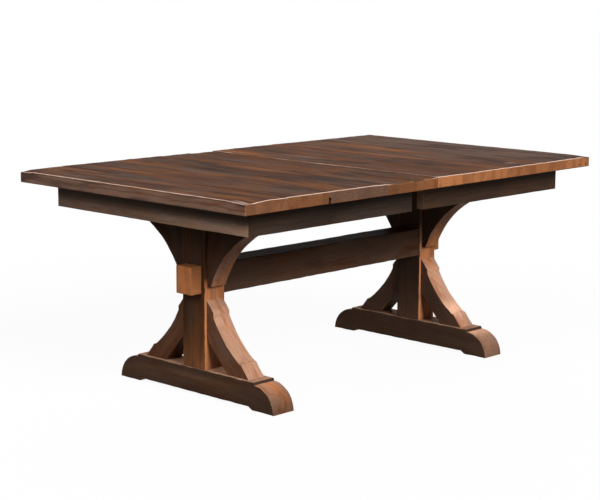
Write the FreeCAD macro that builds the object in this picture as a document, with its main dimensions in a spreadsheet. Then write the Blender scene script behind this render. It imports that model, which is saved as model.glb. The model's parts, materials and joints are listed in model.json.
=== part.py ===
# Trestle dining table of reclaimed wood, with a top in two halves that slide apart on a fixed base.
# Millimetres. The origin is on the floor under the middle of the closed table.
# X runs along the table, Y across it (the front is -Y), Z is up.
import FreeCAD, Part
import Sketcher
import math
import os

DOC = FreeCAD.newDocument("TrestleTable")
SHEET = DOC.addObject("Spreadsheet::Sheet", "Sizes")

# Driving dimensions, each with its alias in the sheet.
DIMENSIONS = {
    # Top: six boards across each half, counted from the seam on the left half
    "table_height": 752,
    "top_width": 1118,
    "top_thickness": 38,
    "seam_gap": 1,
    "board_one": 125,
    "board_two": 136,
    "board_three": 145,
    "board_four": 138,
    "board_five": 185,
    "board_six": 185,
    # Aprons and the blocks in their corners
    "apron_height": 86,
    "apron_thickness": 32,
    "apron_end_inset": 96,
    "apron_side_inset": 85,
    "apron_seam_setback": 32,
    "corner_block_leg": 60,
    "corner_block_height": 70,
    # Feet
    "trestle_offset": 569,
    "foot_width": 98,
    "foot_height": 97,
    "foot_step": 9,
    "foot_ledge": 4,
    "foot_platform_margin": 35,
    "foot_pad_length": 100,
    "foot_arch_ramp": 19,
    "foot_arch_height": 10,
    # Posts and their tenons
    "post_width": 94,
    "post_depth": 112,
    "post_tenon_width": 40,
    "post_tenon_depth": 70,
    "foot_tenon_length": 60,
    "head_tenon_length": 28,
    "mortise_clearance": 0.2,
    # Lower braces, measured from the post's face and the foot's top
    "lower_brace_thickness": 76,
    "lower_brace_reach": 202,
    "lower_brace_rise": 242,
    "lower_brace_inner_reach": 99,
    "lower_brace_inner_rise": 108,
    "scoop_low_inset": 39,
    "scoop_high_inset": 32,
    "scoop_ledge": 6,
    "scoop_drop": 14,
    "scoop_radius": 416,
    # Upper braces; the gap is from the top of the lower brace to the tip of the upper one
    "upper_brace_thickness": 70,
    "brace_gap": 47,
    "upper_brace_tip": 18,
    "upper_brace_end_gap": 74,
    "upper_brace_nose": 30,
    "upper_brace_radius": 365,
    # Stretcher and its through tenons
    "stretcher_bottom": 353,
    "stretcher_height": 106,
    "stretcher_thickness": 104,
    "stretcher_tenon_rise": 6,
    "stretcher_tenon_height": 98,
    "stretcher_tenon_width": 78,
    "stretcher_tenon_proud": 45,
    # Head rails
    "head_rail_width": 90,
    "head_rail_height": 40,
    "head_rail_end_gap": 42,
    # Slides: grooved rails on the base, tongued runners under the top
    "slide_height": 34,
    "slide_clearance": 1,
    "slide_side_clearance": 0.5,
    "slide_travel": 305,
    "rail_setback": 152,
    "rail_width": 36,
    "rail_end_gap": 92,
    "groove_depth": 9.5,
    "groove_height": 12,
    "runner_width": 28,
    "runner_end_gap": 12,
    "runner_reach": 200,
    "runner_relief_start": 10,
    # Equaliser: one gear between two racks
    "gear_module": 4,
    "gear_teeth": 18,
    "gear_pressure_angle": 20,
    "gear_backlash": 0.5,
    "gear_thickness": 14,
    "gear_standoff": 4,
    "gear_pin_diameter": 10,
    "gear_pin_clearance": 0.2,
    "gear_pin_flange": 24,
    "gear_pin_flange_height": 3,
    "gear_pin_head_height": 6,
    "gear_board_thickness": 22,
    "gear_board_width": 90,
    "rack_back": 11,
    "rack_tooth_margin": 36,
    "rack_mount_length": 220,
    "rack_mount_start": 24,
    # Latches
    "latch_runner_gap": 8,
    "latch_pivot_setback": 30,
    "latch_strike_setback": 20,
    "latch_plate_length": 40,
    "latch_plate_width": 20,
    "latch_plate_thickness": 4,
    "latch_lever_width": 18,
    "latch_lever_thickness": 5,
    "latch_lever_overrun": 15,
    "latch_pin_diameter": 8,
    "latch_pin_clearance": 0.3,
    "latch_cap_diameter": 16,
    "latch_cap_height": 3,
    "latch_lever_gap": 0.4,
    "latch_notch_width": 14,
    # Alignment pins in the seam
    "seam_pin_diameter": 10,
    "seam_pin_length": 44,
    "seam_pin_spacing": 380,
    "seam_pin_clearance": 0.25,
    "seam_pin_end_gap": 1,
    # Dowels between posts and braces, up from the foot or down from the head rail
    "dowel_diameter": 10,
    "dowel_length": 44,
    "dowel_tenon_gap": 3,
    "lower_dowel_first": 138,
    "lower_dowel_second": 176,
    "upper_dowel_first": 40,
    "upper_dowel_second": 90,
    # Wood screws of the slides and the top
    "screw_diameter": 5,
    "screw_head_diameter": 9,
    "screw_head_height": 4,
    "screw_seat": 16,
    "screw_bite": 22,
    "screw_clearance": 0.2,
    "screw_end_margin": 20,
    "rail_screw_spacing": 44,
    "gear_board_screw_spacing": 50,
    "gear_board_screw_seat": 8,
    "gear_board_screw_bite": 14,
    # Lag screws through feet and head rails
    "lag_diameter": 8,
    "lag_head_diameter": 15,
    "lag_head_height": 5,
    "foot_lag_reach": 144,
    "foot_lag_seat": 35,
    "foot_lag_bite": 40,
    "head_lag_first": 74,
    "head_lag_second": 159,
    "head_lag_seat": 15,
    "head_lag_bite": 45,
}

for row, (alias, value) in enumerate(DIMENSIONS.items(), start=1):
    SHEET.set(f"A{row}", alias)
    SHEET.set(f"B{row}", str(value))
    SHEET.setAlias(f"B{row}", alias)
DOC.recompute()


def size(alias):
    """The expression that reads one driving dimension."""
    return f"Sizes.{alias}"


def number(expression):
    """The value of an expression as a plain number."""
    return float(SHEET.evalExpression(str(expression)))


# Depth of a tooth below its pitch line, in modules.
DEDENDUM = 1.25

# Levels and faces that several pieces share, as expressions on the sheet.
LEFT_BOARDS = ["board_one", "board_two", "board_three", "board_four", "board_five", "board_six"]
RIGHT_BOARDS = ["board_two", "board_three", "board_four", "board_five", "board_one", "board_six"]
HALF_LENGTH = "(" + size("seam_gap") + " / 2 + " + " + ".join(size(name) for name in LEFT_BOARDS) + ")"
UNDERSIDE = f"({size('table_height')} - {size('top_thickness')})"
HEAD_RAIL_TOP = f"({UNDERSIDE} - {size('slide_height')})"
HEAD_RAIL_BOTTOM = f"({HEAD_RAIL_TOP} - {size('head_rail_height')})"
APRON_OUTER_X = f"({HALF_LENGTH} - {size('apron_end_inset')})"
APRON_INNER_X = f"({APRON_OUTER_X} - {size('apron_thickness')})"
APRON_OUTER_Y = f"({size('top_width')} / 2 - {size('apron_side_inset')})"
APRON_INNER_Y = f"({APRON_OUTER_Y} - {size('apron_thickness')})"
HEAD_RAIL_HALF = f"({APRON_INNER_Y} - {size('head_rail_end_gap')})"
POST_FACE = f"({size('post_depth')} / 2)"
POST_OUTER = f"({size('trestle_offset')} + {size('post_width')} / 2)"
POST_INNER = f"({size('trestle_offset')} - {size('post_width')} / 2)"
BRACE_TIP = f"({size('foot_height')} + {size('lower_brace_rise')} + {size('brace_gap')})"
RAIL_OFFSET = f"({APRON_INNER_Y} - {size('rail_setback')})"
RAIL_HEIGHT = f"({size('slide_height')} - {size('slide_clearance')})"
RUNNER_SPREAD = f"({size('rail_width')} / 2 + {size('slide_side_clearance')} + {size('runner_width')} / 2)"
RUNNER_END = f"({APRON_INNER_X} - {size('runner_end_gap')})"
GEAR_RADIUS = f"({size('gear_module')} * {size('gear_teeth')} / 2)"
GEAR_BOTTOM = f"({HEAD_RAIL_TOP} + {size('gear_standoff')})"
RACK_CENTRE = f"({GEAR_RADIUS} + {DEDENDUM} * {size('gear_module')} + {size('rack_back')} / 2)"

ENDS = {"left": -1, "right": 1}
SIDES = {"front": -1, "back": 1}
NODES = []


def label(piece, name):
    """Give a finished sub-part its name and put it on the list of sub-parts."""
    piece.Label = name
    NODES.append(piece)
    return piece


def bind(piece, **expressions):
    """Bind properties of an object to expressions; x, y and z are its place."""
    for prop, expression in expressions.items():
        target = f".Placement.Base.{prop}" if prop in ("x", "y", "z") else prop
        piece.setExpression(target, str(expression))
    return piece


def box(name, low, high):
    """A box between two corners, each a triple of expressions."""
    piece = DOC.addObject("Part::Box", name)
    bind(piece, x=low[0], y=low[1], z=low[2])
    spans = [f"({top}) - ({bottom})" for bottom, top in zip(low, high)]
    return bind(piece, Length=spans[0], Width=spans[1], Height=spans[2])


def block(name, sign, near, far, front, back, bottom, top):
    """A box between two distances from the table's middle, on the end given by sign."""
    first, last = (f"-({far})", f"-({near})") if sign < 0 else (near, far)
    return box(name, (first, front, bottom), (last, back, top))


def rod(name, diameter, x, y, bottom, top):
    """An upright cylinder between two levels."""
    piece = DOC.addObject("Part::Cylinder", name)
    bind(piece, x=x, y=y, z=bottom)
    return bind(piece, Radius=f"({diameter}) / 2", Height=f"({top}) - ({bottom})")


def level_rod(name, diameter, axis, x, y, z, length):
    """A cylinder that starts at a point and lies along an axis."""
    piece = DOC.addObject("Part::Cylinder", name)
    piece.Placement.Rotation = FreeCAD.Rotation(FreeCAD.Vector(0, 0, 1), FreeCAD.Vector(*axis))
    bind(piece, x=x, y=y, z=z)
    return bind(piece, Radius=f"({diameter}) / 2", Height=length)


def group(name, pieces):
    """Several solids kept apart in one object."""
    piece = DOC.addObject("Part::Compound", name)
    piece.Links = pieces
    return piece


def join(name, pieces):
    """Several solids joined into one."""
    piece = DOC.addObject("Part::MultiFuse", name)
    piece.Shapes = pieces
    piece.Refine = True
    return piece


def carve(name, blank, tools):
    """A blank with each of the tools cut away in turn."""
    for index, tool in enumerate(tools):
        cut = DOC.addObject("Part::Cut", f"{name}_cut_{index}")
        cut.Base = blank
        cut.Tool = tool
        blank = cut
    return blank


def arc_between(start, end, radius, bulge):
    """The sketch arc from start to end; a bulge of 1 puts its centre on the left of the way there."""
    chord = end - start
    middle = (start + end) * 0.5
    left = FreeCAD.Vector(-chord.y, chord.x, 0).normalize()
    height = math.sqrt(radius ** 2 - (chord.Length / 2) ** 2)
    centre = middle + left * (height * bulge)
    first, last = (start, end) if bulge > 0 else (end, start)
    angles = [math.atan2(point.y - centre.y, point.x - centre.x) for point in (first, last)]
    circle = Part.Circle(centre, FreeCAD.Vector(0, 0, 1), radius)
    return Part.ArcOfCircle(circle, *angles)


def outline_body(name, plane, corners, arcs, depth, symmetric=True):
    """A body padded from an outline whose corners and radii are bound to expressions.

    arcs maps the number of a side, counted from its first corner, to (radius, bulge).
    """
    body = DOC.addObject("PartDesign::Body", name)
    sketch = body.newObject("Sketcher::SketchObject", name + "_outline")
    origin_plane = [part for part in body.Origin.OriginFeatures if part.Role == plane][0]
    sketch.AttachmentSupport = [(origin_plane, "")]
    sketch.MapMode = "FlatFace"
    points = [FreeCAD.Vector(number(across), number(up), 0) for across, up in corners]
    starts = []
    for side, start in enumerate(points):
        end = points[(side + 1) % len(points)]
        if side in arcs:
            radius, bulge = arcs[side]
            sketch.addGeometry(arc_between(start, end, number(radius), bulge), False)
            starts.append(1 if bulge > 0 else 2)
        else:
            sketch.addGeometry(Part.LineSegment(start, end), False)
            starts.append(1)
    for side in range(len(points)):
        follower = (side + 1) % len(points)
        join_ends = Sketcher.Constraint("Coincident", side, 3 - starts[side], follower, starts[follower])
        sketch.addConstraint(join_ends)
    for side, (point, corner) in enumerate(zip(points, corners)):
        for kind, value, expression in zip(("DistanceX", "DistanceY"), point, corner):
            limit = Sketcher.Constraint(kind, -1, 1, side, starts[side], value)
            sketch.setExpression(f"Constraints[{sketch.addConstraint(limit)}]", str(expression))
    for side, (radius, bulge) in arcs.items():
        limit = sketch.addConstraint(Sketcher.Constraint("Radius", side, number(radius)))
        sketch.setExpression(f"Constraints[{limit}]", str(radius))
    pad = body.newObject("PartDesign::Pad", name + "_pad")
    pad.Profile = sketch
    pad.SideType = "Symmetric" if symmetric else "One side"
    bind(pad, Length=depth)
    return body


def screw(name, x, y, seat, points_up, length, kind):
    """A screw with a round head; seat is the level of the face under its head."""
    head = size(f"{kind}_head_height")
    levels = (f"{seat} - {head}", seat) if points_up else (seat, f"{seat} + {head}")
    shank = (seat, f"{seat} + {length}") if points_up else (f"{seat} - ({length})", seat)
    pieces = [
        rod(name + "_head", size(f"{kind}_head_diameter"), x, y, *levels),
        rod(name + "_shank", size(f"{kind}_diameter"), x, y, *shank),
    ]
    return join(name, pieces)


def screw_way(name, x, y, seat, mouth, exit_level, kind):
    """The hole for a screw: a clearance hole, and a wider bore from the seat to the open face."""
    room = f"2 * {size('screw_clearance')}"
    bore_ends = (mouth, seat) if number(mouth) < number(seat) else (seat, mouth)
    hole_ends = (seat, exit_level) if number(seat) < number(exit_level) else (exit_level, seat)
    pieces = [
        rod(name + "_bore", f"{size(kind + '_head_diameter')} + {room}", x, y, *bore_ends),
        rod(name + "_hole", f"{size(kind + '_diameter')} + {room}", x, y, *hole_ends),
    ]
    return join(name, pieces)


# Feet, posts, braces, head rails and stretcher: the base that stands still.

def foot_outline():
    """Half outline of a foot, from the middle of its underside to the middle of its top, as (y, z)."""
    platform = f"({POST_FACE} + {size('lower_brace_reach')} + {size('foot_platform_margin')})"
    shoulder = f"({size('foot_height')} - {size('foot_step')})"
    nose_start = f"({platform} + {size('foot_ledge')})"
    toe = f"({nose_start} + {shoulder})"
    pad_start = f"({toe} - {size('foot_pad_length')})"
    arch_start = f"({pad_start} - {size('foot_arch_ramp')})"
    half = [
        (arch_start, size("foot_arch_height")),
        (pad_start, "0"),
        (toe, "0"),
        (nose_start, shoulder),
        (platform, shoulder),
        (platform, size("foot_height")),
    ]
    mirrored = [(f"-{across}", up) for across, up in reversed(half)]
    arcs = {2: (shoulder, 1), 8: (shoulder, 1)}
    return half + mirrored, arcs


def lower_brace_outline(side):
    """Outline of a lower brace on one side of the post, as (y, z): a board with a scooped outer edge."""
    reach = size("lower_brace_reach")
    rise = size("lower_brace_rise")
    floor = size("foot_height")
    slope = f"({rise} / {reach})"
    low = f"({reach} - {size('scoop_low_inset')})"
    high = size("scoop_high_inset")
    low_level = f"({floor} + {size('scoop_low_inset')} * {slope})"
    high_level = f"({floor} + ({reach} - {high}) * {slope})"
    corners = [
        (size("lower_brace_inner_reach"), floor),
        (reach, floor),
        (low, low_level),
        (f"{low} - {size('scoop_ledge')}", low_level),
        (high, f"{high_level} - {size('scoop_drop')}"),
        (high, high_level),
        ("0", f"{floor} + {rise}"),
        ("0", f"{floor} + {size('lower_brace_inner_rise')}"),
    ]
    placed = [(f"{side} * ({POST_FACE} + {across})", up) for across, up in corners]
    return placed, {3: (size("scoop_radius"), -side)}


def upper_brace_outline(side):
    """Outline of an upper brace on one side of the post, as (y, z): a hollow curve up to the head rail."""
    end = f"({HEAD_RAIL_HALF} - {size('upper_brace_end_gap')})"
    corners = [
        (POST_FACE, BRACE_TIP),
        (f"{POST_FACE} + {size('upper_brace_tip')}", BRACE_TIP),
        (end, f"{HEAD_RAIL_BOTTOM} - {size('upper_brace_nose')}"),
        (end, HEAD_RAIL_BOTTOM),
        (POST_FACE, HEAD_RAIL_BOTTOM),
    ]
    placed = [(f"{side} * ({across})", up) for across, up in corners]
    return placed, {1: (size("upper_brace_radius"), -side)}


def brace_dowels(end, sign):
    """Eight dowels, two in each joint between a post and a brace, clear of the stretcher's tenon."""
    levels = [f"{size('foot_height')} + {size(f'lower_dowel_{nth}')}" for nth in ("first", "second")]
    levels += [f"{HEAD_RAIL_BOTTOM} - {size(f'upper_dowel_{nth}')}" for nth in ("first", "second")]
    start = f"{size('stretcher_tenon_width')} / 2 + {size('dowel_tenon_gap')}"
    dowels = []
    for side_name, side in SIDES.items():
        for index, level in enumerate(levels):
            name = f"{end}_{side_name}_dowel_{index}"
            centre = f"{sign} * {size('trestle_offset')}"
            dowels.append(level_rod(name, size("dowel_diameter"), (0, side, 0), centre,
                                    f"{side} * ({start})", level, size("dowel_length")))
    return label(group(f"{end}_dowels", dowels), f"{end}_brace_dowels")


def foot_lags():
    """One lag screw from under the foot into each lower brace, with the ways through the feet."""
    seat = size("foot_lag_seat")
    length = f"({size('foot_height')} - {seat} + {size('foot_lag_bite')})"
    screws = []
    ways = {end: [] for end in ENDS}
    for end, sign in ENDS.items():
        for side_name, side in SIDES.items():
            x = f"{sign} * {size('trestle_offset')}"
            y = f"{side} * ({POST_FACE} + {size('foot_lag_reach')})"
            name = f"{end}_{side_name}_foot_lag"
            screws.append(screw(name, x, y, seat, True, length, "lag"))
            ways[end].append(screw_way(name + "_way", x, y, seat, "0", size("foot_height"), "lag"))
    return label(group("foot_lags", screws), "foot_lag_screws"), ways


def head_lags():
    """Two lag screws from each half of a head rail into the upper brace below it."""
    seat = f"({HEAD_RAIL_TOP} - {size('head_lag_seat')})"
    length = f"{size('head_rail_height')} - {size('head_lag_seat')} + {size('head_lag_bite')}"
    screws = []
    ways = {end: [] for end in ENDS}
    for end, sign in ENDS.items():
        for side_name, side in SIDES.items():
            for nth in ("first", "second"):
                x = f"{sign} * {size('trestle_offset')}"
                y = f"{side} * ({POST_FACE} + {size(f'head_lag_{nth}')})"
                name = f"{end}_{side_name}_head_lag_{nth}"
                screws.append(screw(name, x, y, seat, False, length, "lag"))
                ways[end].append(
                    screw_way(name + "_way", x, y, seat, HEAD_RAIL_TOP, HEAD_RAIL_BOTTOM, "lag"))
    return label(group("head_lags", screws), "head_rail_lag_screws"), ways


def slide_screws():
    """Screws that hold the fixed rails on the head rails, and the gear board under the fixed rails."""
    screws = []
    rail_ways = {side_name: [] for side_name in SIDES}
    board_ways = []
    rail_seat = f"({HEAD_RAIL_TOP} + {size('screw_seat')})"
    rail_length = f"{size('screw_seat')} + {size('screw_bite')}"
    board_bottom = f"({HEAD_RAIL_TOP} - {size('gear_board_thickness')})"
    board_seat = f"({board_bottom} + {size('gear_board_screw_seat')})"
    board_length = (f"({size('gear_board_thickness')} - {size('gear_board_screw_seat')}"
                    f" + {size('gear_board_screw_bite')})")
    for side_name, side in SIDES.items():
        y = f"{side} * {RAIL_OFFSET}"
        for end, sign in ENDS.items():
            for step in (-1, 1):
                x = f"{sign} * {size('trestle_offset')} + {step} * {size('rail_screw_spacing')} / 2"
                name = f"{end}_{side_name}_rail_screw_{step + 1}"
                screws.append(screw(name, x, y, rail_seat, False, rail_length, "screw"))
                rail_top = f"{HEAD_RAIL_TOP} + {RAIL_HEIGHT}"
                rail_ways[side_name].append(
                    screw_way(name + "_way", x, y, rail_seat, rail_top, HEAD_RAIL_TOP, "screw"))
            x = f"{sign} * {size('gear_board_screw_spacing')} / 2"
            name = f"{end}_{side_name}_gear_board_screw"
            screws.append(screw(name, x, y, board_seat, True, board_length, "screw"))
            board_ways.append(
                screw_way(name + "_way", x, y, board_seat, board_bottom, HEAD_RAIL_TOP, "screw"))
    return label(group("slide_screw_group", screws), "slide_screws"), rail_ways, board_ways


def make_trestle(end, sign, lags, lag_ways, head_screws, head_ways, rail_screws):
    """One trestle: foot, post, four braces and head rail."""
    centre = f"{sign} * {size('trestle_offset')}"
    dowels = brace_dowels(end, sign)
    half_tenon = (f"{size('post_tenon_width')} / 2", f"{size('post_tenon_depth')} / 2")
    room = size("mortise_clearance")

    def about_post(name, half_x, half_y, bottom, top):
        return box(name, (f"{centre} - ({half_x})", f"-({half_y})", bottom),
                   (f"{centre} + {half_x}", half_y, top))

    corners, arcs = foot_outline()
    foot = outline_body(f"{end}_foot_blank", "YZ_Plane", corners, arcs, size("foot_width"))
    bind(foot, x=centre)
    mortise_floor = f"{size('foot_height')} - {size('foot_tenon_length')} - {room}"
    foot_mortise = about_post(f"{end}_foot_mortise", f"{half_tenon[0]} + {room}", f"{half_tenon[1]} + {room}",
                              mortise_floor, size("foot_height"))
    label(carve(f"{end}_foot", foot, [foot_mortise] + lag_ways), f"{end}_foot")

    post_parts = [
        about_post(f"{end}_post_shaft", f"{size('post_width')} / 2", POST_FACE,
                   size("foot_height"), HEAD_RAIL_BOTTOM),
        about_post(f"{end}_post_foot_tenon", *half_tenon,
                   f"{size('foot_height')} - {size('foot_tenon_length')}", size("foot_height")),
        about_post(f"{end}_post_head_tenon", *half_tenon,
                   HEAD_RAIL_BOTTOM, f"{HEAD_RAIL_BOTTOM} + {size('head_tenon_length')}"),
    ]
    tenon_bottom = f"({size('stretcher_bottom')} + {size('stretcher_tenon_rise')})"
    stretcher_mortise = about_post(f"{end}_stretcher_mortise", f"{size('post_width')} / 2",
                                   f"{size('stretcher_tenon_width')} / 2 + {room}",
                                   f"{tenon_bottom} - {room}",
                                   f"{tenon_bottom} + {size('stretcher_tenon_height')} + {room}")
    post = join(f"{end}_post_blank", post_parts)
    label(carve(f"{end}_post", post, [stretcher_mortise, dowels]), f"{end}_post")

    for side_name, side in SIDES.items():
        corners, arcs = lower_brace_outline(side)
        name = f"{end}_{side_name}_lower_brace"
        brace = outline_body(name + "_blank", "YZ_Plane", corners, arcs, size("lower_brace_thickness"))
        bind(brace, x=centre)
        label(carve(name, brace, [dowels, lags]), name)
        corners, arcs = upper_brace_outline(side)
        name = f"{end}_{side_name}_upper_brace"
        brace = outline_body(name + "_blank", "YZ_Plane", corners, arcs, size("upper_brace_thickness"))
        bind(brace, x=centre)
        label(carve(name, brace, [dowels, head_screws]), name)

    head_rail = about_post(f"{end}_head_rail_blank", f"{size('head_rail_width')} / 2", HEAD_RAIL_HALF,
                           HEAD_RAIL_BOTTOM, HEAD_RAIL_TOP)
    head_mortise = about_post(f"{end}_head_mortise", f"{half_tenon[0]} + {room}", f"{half_tenon[1]} + {room}",
                              HEAD_RAIL_BOTTOM,
                              f"{HEAD_RAIL_BOTTOM} + {size('head_tenon_length')} + {room}")
    label(carve(f"{end}_head_rail", head_rail, [head_mortise, rail_screws] + head_ways), f"{end}_head_rail")


def make_stretcher():
    """The stretcher between the posts, with a tenon through each of them."""
    bottom = size("stretcher_bottom")
    tenon_bottom = f"{bottom} + {size('stretcher_tenon_rise')}"
    tenon_end = f"{POST_OUTER} + {size('stretcher_tenon_proud')}"
    half = f"{size('stretcher_thickness')} / 2"
    tenon_half = f"{size('stretcher_tenon_width')} / 2"
    parts = [
        box("stretcher_beam", (f"-{POST_INNER}", f"-{half}", bottom),
            (POST_INNER, half, f"{bottom} + {size('stretcher_height')}")),
        box("stretcher_tenons", (f"-({tenon_end})", f"-{tenon_half}", tenon_bottom),
            (tenon_end, tenon_half, f"{tenon_bottom} + {size('stretcher_tenon_height')}")),
    ]
    label(join("stretcher_joined", parts), "stretcher")


# Slides and equaliser.

def make_fixed_rail(side_name, side, ways, screws):
    """A rail on the head rails, grooved along both sides for the runners' tongues."""
    end = f"({APRON_INNER_X} - {size('rail_end_gap')})"
    middle = f"{side} * {RAIL_OFFSET}"
    half = f"{size('rail_width')} / 2"
    top = f"{HEAD_RAIL_TOP} + {RAIL_HEIGHT}"
    name = f"{side_name}_fixed_rail"
    blank = box(name + "_blank", (f"-{end}", f"{middle} - {half}", HEAD_RAIL_TOP),
                (end, f"{middle} + {half}", top))
    centre_level = f"{HEAD_RAIL_TOP} + {RAIL_HEIGHT} / 2"
    low = f"{centre_level} - {size('groove_height')} / 2"
    high = f"{centre_level} + {size('groove_height')} / 2"
    core = f"({half} - {size('groove_depth')})"
    grooves = [
        box(name + "_front_groove", (f"-{end}", f"{middle} - {half}", low),
            (end, f"{middle} - {core}", high)),
        box(name + "_back_groove", (f"-{end}", f"{middle} + {core}", low),
            (end, f"{middle} + {half}", high)),
    ]
    label(carve(name, blank, grooves + ways + [screws]), name)


def runner_middle(sign, side):
    """Where a runner lies across the table: left ones outside the fixed rails, right ones inside."""
    return f"{side} * ({RAIL_OFFSET} + {-sign} * {RUNNER_SPREAD})"


def make_runner(end, sign, side_name, side, ways):
    """A runner under one half of the top, with a tongue in the fixed rail's groove."""
    name = f"{end}_{side_name}_runner"
    middle = runner_middle(sign, side)
    half = f"{size('runner_width')} / 2"
    gap = size("slide_side_clearance")
    bottom = f"({HEAD_RAIL_TOP} + {size('slide_clearance')})"
    reach = f"-({size('runner_reach')})"
    body = block(name + "_bar", sign, reach, RUNNER_END, f"{middle} - {half}", f"{middle} + {half}",
                 bottom, UNDERSIDE)
    towards_rail = sign * side
    face = f"{middle} + {towards_rail} * {half}"
    # The gap between runner and rail is also left at the bottom of the groove, so the tongue is as
    # long as the groove is deep.
    tip = f"{face} + {towards_rail} * {size('groove_depth')}"
    front, back = (face, tip) if towards_rail > 0 else (tip, face)
    centre_level = f"({HEAD_RAIL_TOP} + {RAIL_HEIGHT} / 2)"
    half_height = f"({size('groove_height')} / 2 - {gap})"
    tongue = block(name + "_tongue", sign, reach, RUNNER_END, front, back,
                   f"{centre_level} - {half_height}", f"{centre_level} + {half_height}")
    relief = block(name + "_relief", sign, reach, size("runner_relief_start"),
                   f"{middle} - {half}", f"{middle} + {half}",
                   f"{UNDERSIDE} - {size('slide_clearance')}", UNDERSIDE)
    label(carve(name, join(name + "_blank", [body, tongue]), [relief] + ways), name)


def gear_shape():
    """An involute gear with its bore: flanks are arcs through three points of the involute."""
    module = number(size("gear_module"))
    teeth = round(number(size("gear_teeth")))
    pressure = math.radians(number(size("gear_pressure_angle")))
    backlash = number(size("gear_backlash"))
    pitch_radius = module * teeth / 2
    base_radius = pitch_radius * math.cos(pressure)
    root_radius = pitch_radius - DEDENDUM * module
    tip_radius = pitch_radius + module
    foot_radius = max(base_radius, root_radius)
    half_pitch_angle = math.pi / (2 * teeth) - backlash / (4 * pitch_radius)

    def half_angle(radius):
        roll = math.acos(min(1.0, base_radius / radius))
        return half_pitch_angle + math.tan(pressure) - pressure - math.tan(roll) + roll

    def at(radius, angle):
        return FreeCAD.Vector(radius * math.cos(angle), radius * math.sin(angle), 0)

    edges = []
    step = 2 * math.pi / teeth
    flank = (foot_radius, (foot_radius + tip_radius) / 2, tip_radius)
    for tooth in range(teeth):
        centre = math.pi / 2 + tooth * step
        rise = [at(radius, centre - half_angle(radius)) for radius in flank]
        fall = [at(radius, centre + half_angle(radius)) for radius in reversed(flank)]
        root_start = at(root_radius, centre - half_angle(foot_radius))
        root_end = at(root_radius, centre + half_angle(foot_radius))
        next_root = at(root_radius, centre + step - half_angle(foot_radius))
        edges.append(Part.LineSegment(root_start, rise[0]).toShape())
        edges.append(Part.Arc(*rise).toShape())
        edges.append(Part.Arc(rise[2], at(tip_radius, centre), fall[0]).toShape())
        edges.append(Part.Arc(*fall).toShape())
        edges.append(Part.LineSegment(fall[2], root_end).toShape())
        edges.append(Part.Arc(root_end, at(root_radius, centre + step / 2), next_root).toShape())
    thickness = number(size("gear_thickness"))
    blank = Part.Face(Part.Wire(edges)).extrude(FreeCAD.Vector(0, 0, thickness))
    bore = number(size("gear_pin_diameter")) / 2 + number(size("gear_pin_clearance"))
    return blank.cut(Part.makeCylinder(bore, thickness))


def rack_shape(phase):
    """The toothed bar of the left rack, on the gear's +Y side, with a tooth gap at x = phase."""
    module = number(size("gear_module"))
    pressure = math.radians(number(size("gear_pressure_angle")))
    pitch = math.pi * module
    pitch_line = number(GEAR_RADIUS)
    tip_line = pitch_line - module
    root_line = pitch_line + DEDENDUM * module
    back_line = root_line + number(size("rack_back"))
    half_tooth = pitch / 4 - number(size("gear_backlash")) / 4
    tip_half = half_tooth - module * math.tan(pressure)
    root_half = half_tooth + DEDENDUM * module * math.tan(pressure)
    start = -number(size("rack_mount_start")) - number(size("rack_mount_length"))
    end = number(size("slide_travel")) + number(size("rack_tooth_margin"))
    first = math.ceil((-number(size("rack_mount_start")) - phase) / pitch)
    last = math.floor((end - phase) / pitch) - 1
    outline = [(start, back_line), (start, root_line)]
    for tooth in range(first, last + 1):
        centre = phase + (tooth + 0.5) * pitch
        outline.append((centre - root_half, root_line))
        outline.append((centre - tip_half, tip_line))
        outline.append((centre + tip_half, tip_line))
        outline.append((centre + root_half, root_line))
    outline += [(end, root_line), (end, back_line)]
    points = [FreeCAD.Vector(x, y, 0) for x, y in outline]
    face = Part.Face(Part.makePolygon(points + points[:1]))
    return face.extrude(FreeCAD.Vector(0, 0, number(size("gear_thickness"))))


def make_equaliser(board_ways):
    """The gear, its pin and the board that carries them."""
    gear = DOC.addObject("Part::Feature", "gear_feature")
    gear.Shape = gear_shape()
    bind(gear, z=GEAR_BOTTOM)
    label(gear, "equaliser_gear")

    diameter = size("gear_pin_diameter")
    flange = size("gear_pin_flange")
    board_bottom = f"({HEAD_RAIL_TOP} - {size('gear_board_thickness')})"
    cap_bottom = f"({GEAR_BOTTOM} + {size('gear_thickness')} + {size('gear_pin_clearance')})"
    cap_top = f"{cap_bottom} + {size('gear_pin_flange_height')}"
    parts = [
        rod("gear_pin_head", flange, "0", "0",
            f"{board_bottom} - {size('gear_pin_head_height')}", board_bottom),
        rod("gear_pin_shank", diameter, "0", "0", board_bottom, cap_top),
        rod("gear_pin_collar", flange, "0", "0", HEAD_RAIL_TOP, GEAR_BOTTOM),
        rod("gear_pin_cap", flange, "0", "0", cap_bottom, cap_top),
    ]
    pin = label(join("gear_pin_joined", parts), "gear_pin")

    half_width = f"{size('gear_board_width')} / 2"
    rail_outer = f"({RAIL_OFFSET} + {size('rail_width')} / 2)"
    board = box("gear_board_blank", (f"-{half_width}", f"-{rail_outer}", board_bottom),
                (half_width, rail_outer, HEAD_RAIL_TOP))
    label(carve("gear_board", board, [pin] + board_ways), "gear_board")


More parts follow.
